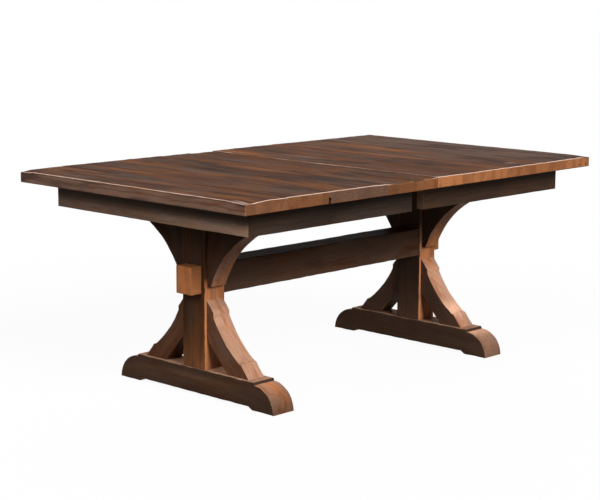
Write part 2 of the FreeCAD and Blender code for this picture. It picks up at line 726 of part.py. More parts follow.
def make_rack(end, sign, ways):
    """A rack with the block that hangs it under its half of the top."""
    odd_teeth = round(number(size("gear_teeth"))) % 2
    half_pitch = math.pi * number(size("gear_module")) / 2
    bar = DOC.addObject("Part::Feature", f"{end}_rack_bar")
    bar.Shape = rack_shape(half_pitch if odd_teeth and sign > 0 else 0.0)
    turn = 180 if sign > 0 else 0
    bar.Placement.Rotation = FreeCAD.Rotation(FreeCAD.Vector(0, 0, 1), turn)
    bind(bar, z=GEAR_BOTTOM)
    mount_near = size("rack_mount_start")
    mount_far = f"({size('rack_mount_start')} + {size('rack_mount_length')})"
    inner = f"({RACK_CENTRE} - {size('rack_back')} / 2)"
    outer = f"({RACK_CENTRE} + {size('rack_back')} / 2)"
    front, back = (inner, outer) if sign < 0 else (f"-{outer}", f"-{inner}")
    mount = block(f"{end}_rack_mount", sign, mount_near, mount_far, front, back, GEAR_BOTTOM, UNDERSIDE)
    name = f"{end}_rack"
    label(carve(name, join(name + "_blank", [bar, mount]), ways), name)


# The two halves of the top.

def top_screws(end, sign):
    """Screws from below through runners and rack into the boards, with their ways."""
    seat = f"({UNDERSIDE} - {size('screw_seat')})"
    length = f"({size('screw_seat')} + {size('screw_bite')})"
    bottom = f"({HEAD_RAIL_TOP} + {size('slide_clearance')})"
    places = []
    start = f"{size('seam_gap')} / 2"
    for board in (LEFT_BOARDS if sign < 0 else RIGHT_BOARDS)[:-1]:
        places.append(f"({start} + {size(board)} / 2)")
        start = f"{start} + {size(board)}"
    places.append(f"({RUNNER_END} - {size('screw_end_margin')})")
    screws = []
    ways = {"front": [], "back": [], "rack": []}

    def add(way, name, distance, y, mouth):
        x = f"{sign} * {distance}"
        screws.append(screw(name, x, y, seat, True, length, "screw"))
        ways[way].append(screw_way(name + "_way", x, y, seat, mouth, UNDERSIDE, "screw"))

    for index, distance in enumerate(places):
        for side_name, side in SIDES.items():
            name = f"{end}_{side_name}_top_screw_{index}"
            add(side_name, name, distance, runner_middle(sign, side), bottom)
    margin = size("screw_end_margin")
    for index, inset in enumerate((margin, f"{size('rack_mount_length')} - {margin}")):
        distance = f"({size('rack_mount_start')} + {inset})"
        add("rack", f"{end}_rack_screw_{index}", distance, f"{-sign} * {RACK_CENTRE}", GEAR_BOTTOM)
    return label(group(f"{end}_top_screw_group", screws), f"{end}_top_screws"), ways


def seam_pins():
    """Three pins across the seam, fast in the right half, with the bores that they enter in the left half."""
    half = f"{size('seam_pin_length')} / 2"
    level = f"({size('table_height')} - {size('top_thickness')} / 2)"
    pins = []
    bores = []
    for step in (-1, 0, 1):
        y = f"{step} * {size('seam_pin_spacing')}"
        pins.append(level_rod(f"seam_pin_{step + 1}", size("seam_pin_diameter"), (1, 0, 0),
                              f"-{half}", y, level, size("seam_pin_length")))
        room = f"{size('seam_pin_diameter')} + 2 * {size('seam_pin_clearance')}"
        bores.append(level_rod(f"seam_bore_{step + 1}", room, (1, 0, 0),
                               f"-{half} - {size('seam_pin_end_gap')}", y, level,
                               f"{half} + {size('seam_pin_end_gap')}"))
    return label(group("seam_pin_group", pins), "seam_pins"), group("seam_bores", bores)


def make_top_half(end, sign, screws, ways, seam_tool):
    """The boards, aprons, corner blocks, runners and rack of one half."""
    half_width = f"{size('top_width')} / 2"
    near = f"{size('seam_gap')} / 2"
    for index, alias in enumerate(LEFT_BOARDS if sign < 0 else RIGHT_BOARDS):
        far = f"{near} + {size(alias)}"
        name = f"{end}_top_board_{index + 1}"
        blank = block(name + "_blank", sign, near, far, f"-{half_width}", half_width,
                      UNDERSIDE, size("table_height"))
        tools = [screws, seam_tool] if index == 0 else [screws]
        label(carve(name, blank, tools), name)
        near = far

    apron_bottom = f"{UNDERSIDE} - {size('apron_height')}"
    end_apron = block(f"{end}_end_apron_board", sign, APRON_INNER_X, APRON_OUTER_X,
                      f"-{APRON_OUTER_Y}", APRON_OUTER_Y, apron_bottom, UNDERSIDE)
    label(end_apron, f"{end}_end_apron")
    corner_blocks = []
    for side_name, side in SIDES.items():
        faces = (APRON_INNER_Y, APRON_OUTER_Y)
        front, back = faces if side > 0 else (f"-{APRON_OUTER_Y}", f"-{APRON_INNER_Y}")
        apron = block(f"{end}_{side_name}_apron_board", sign, size("apron_seam_setback"), APRON_INNER_X,
                      front, back, apron_bottom, UNDERSIDE)
        label(apron, f"{end}_{side_name}_apron")
        leg = size("corner_block_leg")
        corners = [
            (f"{sign} * {APRON_INNER_X}", f"{side} * {APRON_INNER_Y}"),
            (f"{sign} * ({APRON_INNER_X} - {leg})", f"{side} * {APRON_INNER_Y}"),
            (f"{sign} * {APRON_INNER_X}", f"{side} * ({APRON_INNER_Y} - {leg})"),
        ]
        corner = outline_body(f"{end}_{side_name}_corner_block", "XY_Plane", corners, {},
                              size("corner_block_height"), symmetric=False)
        corner_blocks.append(bind(corner, z=f"{UNDERSIDE} - {size('corner_block_height')}"))
        make_runner(end, sign, side_name, side, ways[side_name])
    label(group(f"{end}_corner_block_group", corner_blocks), f"{end}_corner_blocks")
    make_rack(end, sign, ways["rack"])


# Latches under the seam.

def latch_levels():
    """Levels of a latch, going down: underside of the plate, lever's top and bottom, cap's top and bottom."""
    plate = f"({UNDERSIDE} - {size('latch_plate_thickness')})"
    lever_top = f"({plate} - {size('latch_lever_gap')})"
    lever_bottom = f"({lever_top} - {size('latch_lever_thickness')})"
    cap_top = f"({lever_bottom} - {size('latch_lever_gap')})"
    cap_bottom = f"({cap_top} - {size('latch_cap_height')})"
    return plate, lever_top, lever_bottom, cap_top, cap_bottom


def make_latches():
    """Two latches: pivots on the left half, strikes on the right half and levers that turn, unlatched."""
    plate, lever_top, lever_bottom, cap_top, cap_bottom = latch_levels()
    half_plate = f"{size('latch_plate_length')} / 2"
    half_width = f"{size('latch_plate_width')} / 2"
    runner_face = f"{RAIL_OFFSET} - {RUNNER_SPREAD} - {size('runner_width')} / 2"
    offset = f"({runner_face} - {size('latch_runner_gap')} - {half_plate})"
    pin = size("latch_pin_diameter")
    pivot_x = f"-{size('latch_pivot_setback')}"
    strike_x = size("latch_strike_setback")
    span = f"({size('latch_pivot_setback')} + {size('latch_strike_setback')})"
    half_lever = f"{size('latch_lever_width')} / 2"
    half_notch = f"{size('latch_notch_width')} / 2"
    pivots = []
    strikes = []
    for side_name, side in SIDES.items():
        middle = f"{side} * {offset}"
        inward = -side
        name = f"{side_name}_latch"

        def plate_at(part, x):
            return box(f"{name}_{part}", (f"{x} - {half_width}", f"{middle} - {half_plate}", plate),
                       (f"{x} + {half_width}", f"{middle} + {half_plate}", UNDERSIDE))

        pivots.append(join(f"{name}_pivot", [
            plate_at("pivot_plate", pivot_x),
            rod(f"{name}_pivot_pin", pin, pivot_x, middle, cap_bottom, plate),
            rod(f"{name}_pivot_cap", size("latch_cap_diameter"), pivot_x, middle, cap_bottom, cap_top),
        ]))
        strikes.append(join(f"{name}_strike", [
            plate_at("strike_plate", strike_x),
            rod(f"{name}_strike_pin", pin, strike_x, middle, cap_bottom, plate),
        ]))

        tip = f"{middle} + {inward} * ({span} + {size('latch_lever_overrun')})"
        tail = f"{middle} - {inward} * {half_lever}"
        front, back = (tail, tip) if inward > 0 else (tip, tail)
        arm = box(f"{name}_arm", (f"{pivot_x} - {half_lever}", front, lever_bottom),
                  (f"{pivot_x} + {half_lever}", back, lever_top))
        hole = rod(f"{name}_hole", f"{pin} + 2 * {size('latch_pin_clearance')}", pivot_x, middle,
                   lever_bottom, lever_top)
        notch_middle = f"{middle} + {inward} * {span}"
        notch = box(f"{name}_notch",
                    (f"{pivot_x} - {pin} / 2 - {size('latch_pin_clearance')}",
                     f"{notch_middle} - {half_notch}", lever_bottom),
                    (f"{pivot_x} + {half_lever}", f"{notch_middle} + {half_notch}", lever_top))
        label(carve(f"{name}_lever", arm, [hole, notch]), f"{name}_lever")
    label(group("latch_pivot_group", pivots), "latch_pivots")
    label(group("latch_strike_group", strikes), "latch_strikes")


def build():
    """Make every sub-part in order."""
    lags, lag_ways = foot_lags()
    head_screws, head_ways = head_lags()
    rail_screws, rail_ways, board_ways = slide_screws()
    for end, sign in ENDS.items():
        make_trestle(end, sign, lags, lag_ways[end], head_screws, head_ways[end], rail_screws)
    make_stretcher()
    for side_name, side in SIDES.items():
        make_fixed_rail(side_name, side, rail_ways[side_name], rail_screws)
    make_equaliser(board_ways)
    pins, bores = seam_pins()
    for end, sign in ENDS.items():
        screws, ways = top_screws(end, sign)
        make_top_half(end, sign, screws, ways, bores if sign < 0 else pins)
    make_latches()


def check():
    """Stop if any object failed or any sub-part has no valid solid."""
    failed = [item.Label for item in DOC.Objects if {"Invalid", "Error"} & set(item.State)]
    empty = [item.Label for item in NODES if item.Shape.isNull() or not item.Shape.isValid()
             or not item.Shape.Solids]
    if failed or empty:
        raise RuntimeError(f"failed objects {failed}, sub-parts without a valid solid {empty}")


build()
DOC.recompute()
check()
os.makedirs("parts", exist_ok=True)
for node in NODES:
    node.Shape.exportStep(f"parts/{node.Label}.step")
    print(node.Label, len(node.Shape.Solids), "solids", round(node.Shape.Volume), "mm3")
print(len(NODES), "sub-parts")
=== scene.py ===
"""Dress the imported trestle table: worn timbers around the CAD frame, with camera, light and floor.

Metres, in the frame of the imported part: X along the table, Y across it (front is -Y), Z up.
"""
import json
import logging
import math
from collections.abc import Callable
from dataclasses import dataclass, field
from enum import Enum

import bpy
import numpy as np
from mathutils import Matrix, Vector


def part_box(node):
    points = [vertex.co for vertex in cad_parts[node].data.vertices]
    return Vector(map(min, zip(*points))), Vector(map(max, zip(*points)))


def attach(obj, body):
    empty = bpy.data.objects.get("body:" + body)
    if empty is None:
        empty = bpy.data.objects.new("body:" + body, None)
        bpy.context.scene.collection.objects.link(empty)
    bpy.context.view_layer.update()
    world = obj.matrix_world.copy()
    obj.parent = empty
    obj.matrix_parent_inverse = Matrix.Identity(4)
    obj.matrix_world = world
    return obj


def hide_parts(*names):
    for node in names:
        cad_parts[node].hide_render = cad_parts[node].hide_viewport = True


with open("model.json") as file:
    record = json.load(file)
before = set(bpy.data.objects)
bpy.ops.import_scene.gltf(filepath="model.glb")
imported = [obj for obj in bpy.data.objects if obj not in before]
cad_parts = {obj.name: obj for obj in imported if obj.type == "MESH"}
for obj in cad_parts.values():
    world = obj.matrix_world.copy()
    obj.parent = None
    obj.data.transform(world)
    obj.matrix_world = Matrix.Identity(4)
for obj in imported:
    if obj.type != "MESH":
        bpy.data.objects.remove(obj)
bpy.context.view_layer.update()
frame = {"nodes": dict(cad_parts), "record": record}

LOG = logging.getLogger("trestle_table")
MM = 0.001
X_AXIS = np.array([1.0, 0.0, 0.0])
Y_AXIS = np.array([0.0, 1.0, 0.0])
Z_AXIS = np.array([0.0, 0.0, 1.0])
# A point past this share of a half size lies on that side of a timber
SIDE_LIMIT = 0.97
# Edges that turn by more than this many degrees are shaded sharp
SHARP_ANGLE = 40.0

Array = np.ndarray
Colour = tuple[float, float, float, float]
Tone = tuple[float, float, float]


def shade(red: int, green: int, blue: int) -> Colour:
    """The linear colour of a screen colour.

    Args:
        red: red part, 0 to 255.
        green: green part, 0 to 255.
        blue: blue part, 0 to 255.

    Returns:
        Red, green, blue and alpha as the shader needs them.
    """
    parts = [part / 255 for part in (red, green, blue)]
    linear = [part / 12.92 if part <= 0.04045 else ((part + 0.055) / 1.055) ** 2.4 for part in parts]
    return (*linear, 1.0)


def neutral(level: float) -> Colour:
    """The grey of a linear level, white at 1."""
    return (level, level, level, 1.0)


class Wire:
    """A shader socket; operators on it add Math nodes."""

    def __init__(self, tree: "Tree", socket: bpy.types.NodeSocket) -> None:
        """Keep the tree and the socket."""
        self.tree = tree
        self.socket = socket

    def maths(self, operation: str, *values: "Wire | float") -> "Wire":
        """Add a Math node.

        Args:
            operation: the node's operation.
            values: its inputs in order.

        Returns:
            The node's output.
        """
        return self.tree.add("ShaderNodeMath", {"operation": operation}, dict(enumerate(values)))

    def __add__(self, other: "Wire | float") -> "Wire":
        """Sum."""
        return self.maths("ADD", self, other)

    def __radd__(self, other: float) -> "Wire":
        """Sum with a number on the left."""
        return self.maths("ADD", other, self)

    def __sub__(self, other: "Wire | float") -> "Wire":
        """Difference."""
        return self.maths("SUBTRACT", self, other)

    def __rsub__(self, other: float) -> "Wire":
        """Difference from a number on the left."""
        return self.maths("SUBTRACT", other, self)

    def __mul__(self, other: "Wire | float") -> "Wire":
        """Product."""
        return self.maths("MULTIPLY", self, other)

    def __rmul__(self, other: float) -> "Wire":
        """Product with a number on the left."""
        return self.maths("MULTIPLY", other, self)

    def __pow__(self, other: float) -> "Wire":
        """Power."""
        return self.maths("POWER", self, other)

    def largest(self, other: "Wire | float") -> "Wire":
        """The larger of two values."""
        return self.maths("MAXIMUM", self, other)

    def sine(self) -> "Wire":
        """Sine of the value in radians."""
        return self.maths("SINE", self)

    def step(self, low: float, high: float) -> "Wire":
        """Smooth step.

        Args:
            low: value at which the step leaves 0.
            high: value at which it reaches 1.

        Returns:
            0 below low, 1 above high, smooth between.
        """
        sockets = {"Value": self, "From Min": low, "From Max": high}
        return self.tree.add("ShaderNodeMapRange", {"interpolation_type": "SMOOTHSTEP"}, sockets)


class Tree:
    """The node tree of one material or world."""

    def __init__(self, owner: bpy.types.Material | bpy.types.World) -> None:
        """Start the owner's node tree afresh."""
        self.owner = owner
        owner.use_nodes = True
        self.nodes = owner.node_tree.nodes
        self.links = owner.node_tree.links
        self.nodes.clear()

    @classmethod
    def material(cls, name: str) -> "Tree":
        """The empty tree of a new material of that name."""
        return cls(bpy.data.materials.new(name))

    def add(self, kind: str, settings: dict | None = None, sockets: dict | None = None,
            output: int | str = 0) -> Wire:
        """Add one node.

        Args:
            kind: the node's type.
            settings: properties, set first.
            sockets: value or Wire of each input, by name or number.
            output: which output to give back.

        Returns:
            That output as a Wire.
        """
        node = self.nodes.new(kind)
        for name, value in (settings or {}).items():
            setattr(node, name, value)
        for name, value in (sockets or {}).items():
            if isinstance(value, Wire):
                self.links.new(value.socket, node.inputs[name])
            else:
                node.inputs[name].default_value = value
        return Wire(self, node.outputs[output] if len(node.outputs) else None)

    def mix(self, share: Wire | float, first: Wire | Colour, second: Wire | Colour,
            blend: str = "MIX") -> Wire:
        """Mix two colours.

        Args:
            share: how much of the second colour.
            first: colour at share 0.
            second: colour at share 1.
            blend: the Mix node's blend type.

        Returns:
            The mixed colour.
        """
        settings = {"data_type": "RGBA", "blend_type": blend}
        return self.add("ShaderNodeMix", settings, {0: share, 6: first, 7: second}, 2)

    def attribute(self, name: str, output: str = "Fac") -> Wire:
        """A map that the piece carries, as a number or as a vector."""
        return self.add("ShaderNodeAttribute", {"attribute_name": name}, None, output)

    def place(self) -> Wire:
        """Place on the piece in metres."""
        return self.add("ShaderNodeTexCoord", None, None, "Object")

    def scaled(self, vector: Wire, factors: tuple[float, float, float]) -> Wire:
        """A vector with each part multiplied by its own factor."""
        return self.add("ShaderNodeVectorMath", {"operation": "MULTIPLY"}, {0: vector, 1: factors})

    def noise(self, vector: Wire, factors: tuple[float, float, float], detail: float,
              rough: float = 0.55) -> Wire:
        """Noise on a stretched vector.

        Args:
            vector: place on the piece in metres.
            factors: cells per metre along each part of the vector.
            detail: octaves of the noise.
            rough: strength of the finer octaves.

        Returns:
            A value of about 0.2 to 0.8.
        """
        sockets = {"Vector": self.scaled(vector, factors), "Scale": 1.0, "Detail": detail, "Roughness": rough}
        return self.add("ShaderNodeTexNoise", {"noise_dimensions": "3D"}, sockets)

    def finish(self, sockets: dict, height: Wire | None = None, depth: float = 0.0) -> bpy.types.Material:
        """Close the tree with a Principled shader.

        Args:
            sockets: values and links of the shader.
            height: relief of the surface, 0 to 1.
            depth: depth of the relief in metres.

        Returns:
            The finished material.
        """
        if height is not None:
            bump = {"Height": height, "Distance": depth, "Strength": 1.0}
            sockets = {**sockets, "Normal": self.add("ShaderNodeBump", None, bump)}
        surface = self.add("ShaderNodeBsdfPrincipled", None, sockets)
        self.add("ShaderNodeOutputMaterial", None, {"Surface": surface})
        return self.owner

    def seen(self) -> Wire:
        """1 on camera, glossy and transmission rays, else 0."""
        camera, glossy, through = (self.add("ShaderNodeLightPath", None, None, f"Is {ray} Ray")
                                   for ray in ("Camera", "Glossy", "Transmission"))
        return camera.largest(glossy).largest(through)


@dataclass(frozen=True)
class WornWood:
    """Old sawn wood under a satin varnish; colours as they are on the wood.

    The figure is a solid one: growth rings about the pith, which is the origin of the piece's grain
    map, with bands, streaks, fibres, knots and cracks stretched along the grain. The piece's tint map
    makes places lighter, warmer or greyer, painted light and shade among them; its wear map rubs arrises
    pale, and on the top's upper outer arrises it paints a highlight line as well; holes are dark nail holes.
    """

    name: str
    dark: Colour
    body: Colour
    warm: Colour
    grey: Colour
    pale: Colour
    end: Colour
    contrast: float = 1.0
    pale_lines: float = 0.0
    roughness: float = 0.5
    gloss: float = 0.1
    ring_spacing: float = 0.009
    crack_level: float = 0.68
    relief: float = 0.6 * MM
    holes: tuple[tuple[float, float, float], ...] = ()
    hole_radius: float = 3.0 * MM

    def material(self) -> bpy.types.Material:
        """Build the wood's material.

        Returns:
            A material that reads the piece's grain, tint, wear, end and figure maps.
        """
        tree = Tree.material(self.name)
        grain = tree.attribute("grain", "Vector")
        tint = tree.attribute("tint", "Vector")
        wear = tree.attribute("wear")
        end = tree.attribute("end")
        figure = tree.attribute("figure") * self.contrast
        light, warmth, greyness = (tree.add("ShaderNodeSeparateXYZ", None, {0: tint}, part)
                                   for part in range(3))

        # Noises stretched along the grain, in cells per metre
        bands = tree.noise(grain, (2.8, 11.0, 11.0), 3.0)
        hues = tree.noise(grain, (2.6, 17.0, 17.0), 4.0)
        streaks = tree.noise(grain, (4.5, 40.0, 40.0), 4.0, 0.6)
        fibres = tree.noise(grain, (12.0, 520.0, 520.0), 3.0, 0.6)
        cracks = tree.noise(grain, (2.4, 130.0, 130.0), 2.0)
        patches = tree.noise(grain, (4.0, 17.0, 17.0), 5.0, 0.65)
        blocks = tree.noise(grain, (3.0, 26.0, 9.0), 1.0)
        knot_settings = {"voronoi_dimensions": "3D", "feature": "F1"}
        knot_place = {"Vector": tree.scaled(grain, (1.3, 5.0, 5.0)), "Scale": 1.0}
        knot_distance = tree.add("ShaderNodeTexVoronoi", knot_settings, knot_place, "Distance")
        knots = (1.0 - knot_distance.step(0.03, 0.12)) * (1.0 - end) * figure

        # Growth rings about the pith
        across = tree.scaled(grain, (0.0, 1.0, 1.0))
        radius = tree.add("ShaderNodeVectorMath", {"operation": "LENGTH"}, {0: across}, "Value")
        turns = radius * (2 * math.pi / self.ring_spacing) + bands * 14.0 + hues * 12.0 + knots * 9.0
        rings = (turns.sine() * 0.5 + 0.5) ** 3.0

        # Long grain and end grain
        warm_share = (hues * 0.6 + streaks * 0.4 + warmth * 0.08).step(0.44, 0.62)
        grey_share = (patches * 0.7 + streaks * 0.3 + greyness * 0.12).step(0.48, 0.64)
        dark_share = (bands * 0.6 + streaks * 0.4).step(0.47, 0.62) * figure
        end_grey = (patches * 0.4 + greyness * 0.4).step(0.2, 0.9)
        colour = tree.mix(warm_share, self.body, self.warm)
        colour = tree.mix(grey_share * 0.8, colour, self.grey)
        colour = tree.mix(dark_share * 0.75, colour, self.dark)
        colour = tree.mix(rings * figure * 0.4, colour, self.dark)
        end_colour = tree.mix(blocks.step(0.45, 0.56) * 0.3, self.end, self.body)
        end_colour = tree.mix(end_grey * 0.85, end_colour, self.grey)
        end_colour = tree.mix(rings * figure * 0.25, end_colour, self.dark)
        colour = tree.mix(end * 0.85, colour, end_colour)

        # Fibres, cracks, tint, wear and nail holes over both
        fibre_share = fibres.step(0.38, 0.66)
        colour = tree.mix(fibre_share * figure * 0.25, colour, self.dark)
        deep = tuple(part * 0.4 for part in self.dark[:3]) + (1.0,)
        crack_share = cracks.step(self.crack_level, self.crack_level + 0.05) * figure * (1.0 - end)
        colour = tree.mix((crack_share * 0.8 + knots * 0.7).step(0.0, 1.0), colour, deep)
        line_share = (1.0 - cracks).step(0.64, 0.72) * self.pale_lines
        worn = (wear * 1.5 + patches * 1.4 - 0.9).step(0.2, 1.0) * wear.step(0.02, 0.4)
        gain = light + 1.0
        level = tree.add("ShaderNodeCombineColor", None, {0: gain, 1: gain, 2: gain})
        colour = tree.mix(1.0, colour, level, "MULTIPLY")
        colour = tree.mix(worn.largest(line_share), colour, self.pale)
        for hole in self.holes:
            colour = tree.mix(self.hole(tree, hole), colour, deep)

        roughness = streaks * 0.25 + (self.roughness - 0.12) + crack_share * 0.2
        height = fibre_share * -0.25 + rings * -0.35 + patches * 0.4 - crack_share
        sockets = {"Base Color": colour, "Roughness": roughness, "Specular IOR Level": self.gloss}
        return tree.finish(sockets, height, self.relief)

    def hole(self, tree: Tree, centre: tuple[float, float, float]) -> Wire:
        """1 in a nail hole around that place on the piece, else 0.

        Args:
            tree: the material's tree.
            centre: middle of the hole.

        Returns:
            The hole's mask.
        """
        place = tree.place()
        distance = tree.add("ShaderNodeVectorMath", {"operation": "DISTANCE"}, {0: place, 1: centre}, "Value")
        return 1.0 - distance.step(0.7 * self.hole_radius, 1.3 * self.hole_radius)


@dataclass(frozen=True)
class PlainWood:
    """Unfinished joinery wood for the pieces under the top, with its grain along one axis."""

    name: str
    body: Colour
    line: Colour
    stretch: tuple[float, float, float]
    roughness: float = 0.6
    relief: float = 0.3 * MM

    def material(self) -> bpy.types.Material:
        """Build the material on Object coordinates.

        Returns:
            The finished material.
        """
        tree = Tree.material(self.name)
        place = tree.place()
        lines = tree.noise(place, self.stretch, 4.0, 0.65)
        clouds = tree.noise(place, (6.0, 6.0, 6.0), 3.0)
        share = (lines * 0.7 + clouds * 0.3).step(0.36, 0.62)
        colour = tree.mix(share, self.body, self.line)
        roughness = lines * 0.3 + (self.roughness - 0.15)
        return tree.finish({"Base Color": colour, "Roughness": roughness}, lines, self.relief)


@dataclass(frozen=True)
class Hardware:
    """Metal or plastic fittings: fine brushed or moulded variation on a plain colour."""

    name: str
    body: Colour
    stain: Colour
    metallic: float
    roughness: float
    relief: float = 0.05 * MM

    def material(self) -> bpy.types.Material:
        """Build the material on Object coordinates.

        Returns:
            The finished material.
        """
        tree = Tree.material(self.name)
        place = tree.place()
        clouds = tree.noise(place, (60.0, 60.0, 60.0), 4.0, 0.6)
        brush = tree.noise(place, (90.0, 1400.0, 1400.0), 2.0)
        colour = tree.mix(clouds.step(0.45, 0.7) * 0.6, self.body, self.stain)
        roughness = brush * 0.25 + clouds * 0.2 + (self.roughness - 0.2)
        sockets = {"Base Color": colour, "Roughness": roughness, "Metallic": self.metallic}
        return tree.finish(sockets, brush, self.relief)


NAIL_HOLES = ((0.848, -0.559, 0.725), (0.890, -0.559, 0.726))
# The top's pale colour is both worn wood and the painted highlight on its upper arrises
TOP_WOOD = WornWood("top_wood_worn", dark=shade(45, 31, 28), body=shade(88, 53, 33),
                    warm=shade(124, 75, 37), grey=shade(96, 76, 65), pale=shade(208, 178, 160),
                    end=shade(180, 116, 73), pale_lines=0.12, gloss=0.005, crack_level=0.65,
                    holes=NAIL_HOLES)
APRON_WOOD = WornWood("apron_wood_dark", dark=shade(50, 40, 34), body=shade(112, 86, 70),
                      warm=shade(130, 96, 72), grey=shade(118, 100, 88), pale=shade(150, 124, 104),
                      end=shade(124, 94, 70), contrast=0.5, roughness=0.55, gloss=0.03)
BASE_WOOD = WornWood("base_wood_stained", dark=shade(62, 42, 33), body=shade(98, 63, 44),
                     warm=shade(130, 82, 50), grey=shade(112, 87, 72), pale=shade(214, 176, 136),
                     end=shade(160, 100, 60), contrast=0.45, gloss=0.008, crack_level=0.72)
SLIDE_WOOD = PlainWood("slide_hardwood", shade(206, 172, 128), shade(160, 120, 78), (2.0, 160.0, 160.0))
INNER_WOOD = PlainWood("inner_wood_plain", shade(186, 152, 112), shade(138, 100, 66), (150.0, 3.0, 150.0))
NYLON = Hardware("natural_nylon", shade(226, 222, 208), shade(204, 196, 176), 0.0, 0.5)
STEEL = Hardware("plated_steel", shade(176, 176, 178), shade(120, 112, 104), 1.0, 0.42)


class Face(Enum):
    """The two broad faces of a timber."""

    UPPER = 1
    LOWER = -1


class End(Enum):
    """The two ends of the table, by the sign of X."""

    LEFT = -1
    RIGHT = 1


class Side(Enum):
    """Front and back of the table, by the sign of Y."""

    FRONT = -1
    BACK = 1


class Level(Enum):
    """The lower and upper braces of a trestle."""

    LOWER = 0
    UPPER = 1


class ApronPlace(Enum):
    """The three aprons of one half of the top."""

    END = 0
    FRONT = 1
    BACK = 2


def label(option: Enum) -> str:
    """An option as the nodes' names write it."""
    return option.name.lower()


def node_box(node: str) -> tuple[Array, Array, Array]:
    """Lowest corner, middle and half sizes of a CAD node at rest."""
    low, high = (np.array(corner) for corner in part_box(node))
    return low, (low + high) / 2, (high - low) / 2


def swell(place: Array, middle: float, spread: float) -> Array:
    """A Gaussian along one direction, 1 at its middle."""
    return np.exp(-((place - middle) / spread) ** 2)


def ramp(place: Array, start: float, width: float) -> Array:
    """0 up to the start, 1 from the width after it and straight between; a width below 0 runs backwards."""
    return np.clip((place - start) / width, 0, 1)


def tones(light: Array | float, warmth: Array | float, greyness: Array | float) -> Array:
    """Three tint values as one map.

    Args:
        light: gain of the colour above 1.
        warmth: how much nearer to the warm colour.
        greyness: how much nearer to the grey colour.

    Returns:
        The values stacked along a last axis.
    """
    return np.stack(np.broadcast_arrays(light, warmth, greyness), axis=-1)


def pick(mask: Array, first: Array | Tone, second: Array | Tone) -> Array:
    """The first tone where the mask holds, the second elsewhere."""
    return np.where(mask[..., None], first, second)


@dataclass(frozen=True)
class Waves:
    """Smooth unevenness of a worn face: the mean of a few sines in seeded directions."""

    depth: float
    length: float
    width: float
    seed: int
    count: int = 8

    def at(self, along: Array, across: Array) -> Array:
        """Depth of wear at places on a face.

        Args:
            along: distance along the timber.
            across: distance across its face.

        Returns:
            Depth from 0 to the full depth.
        """
        draw = np.random.default_rng(self.seed)
        along, across = np.broadcast_arrays(along, across)
        rates = 2 * np.pi * draw.normal(size=(2, self.count)) / np.array([[self.length], [self.width]])
        phases = draw.uniform(0, 2 * np.pi, self.count)
        waves = np.sin(along[..., None] * rates[0] + across[..., None] * rates[1] + phases)
        return self.depth * (0.5 + 0.5 * np.clip(waves.sum(-1) / math.sqrt(self.count), -1, 1))


@dataclass
class Rings:
    """Frames of a timber's cross-sections along its path, one row per section."""

    centre: Array
    across: Array
    through: Array
    half_across: Array
    half_through: Array


Path = Callable[[Array], Rings]
Map = Callable[[Array, Array, Array], Array]


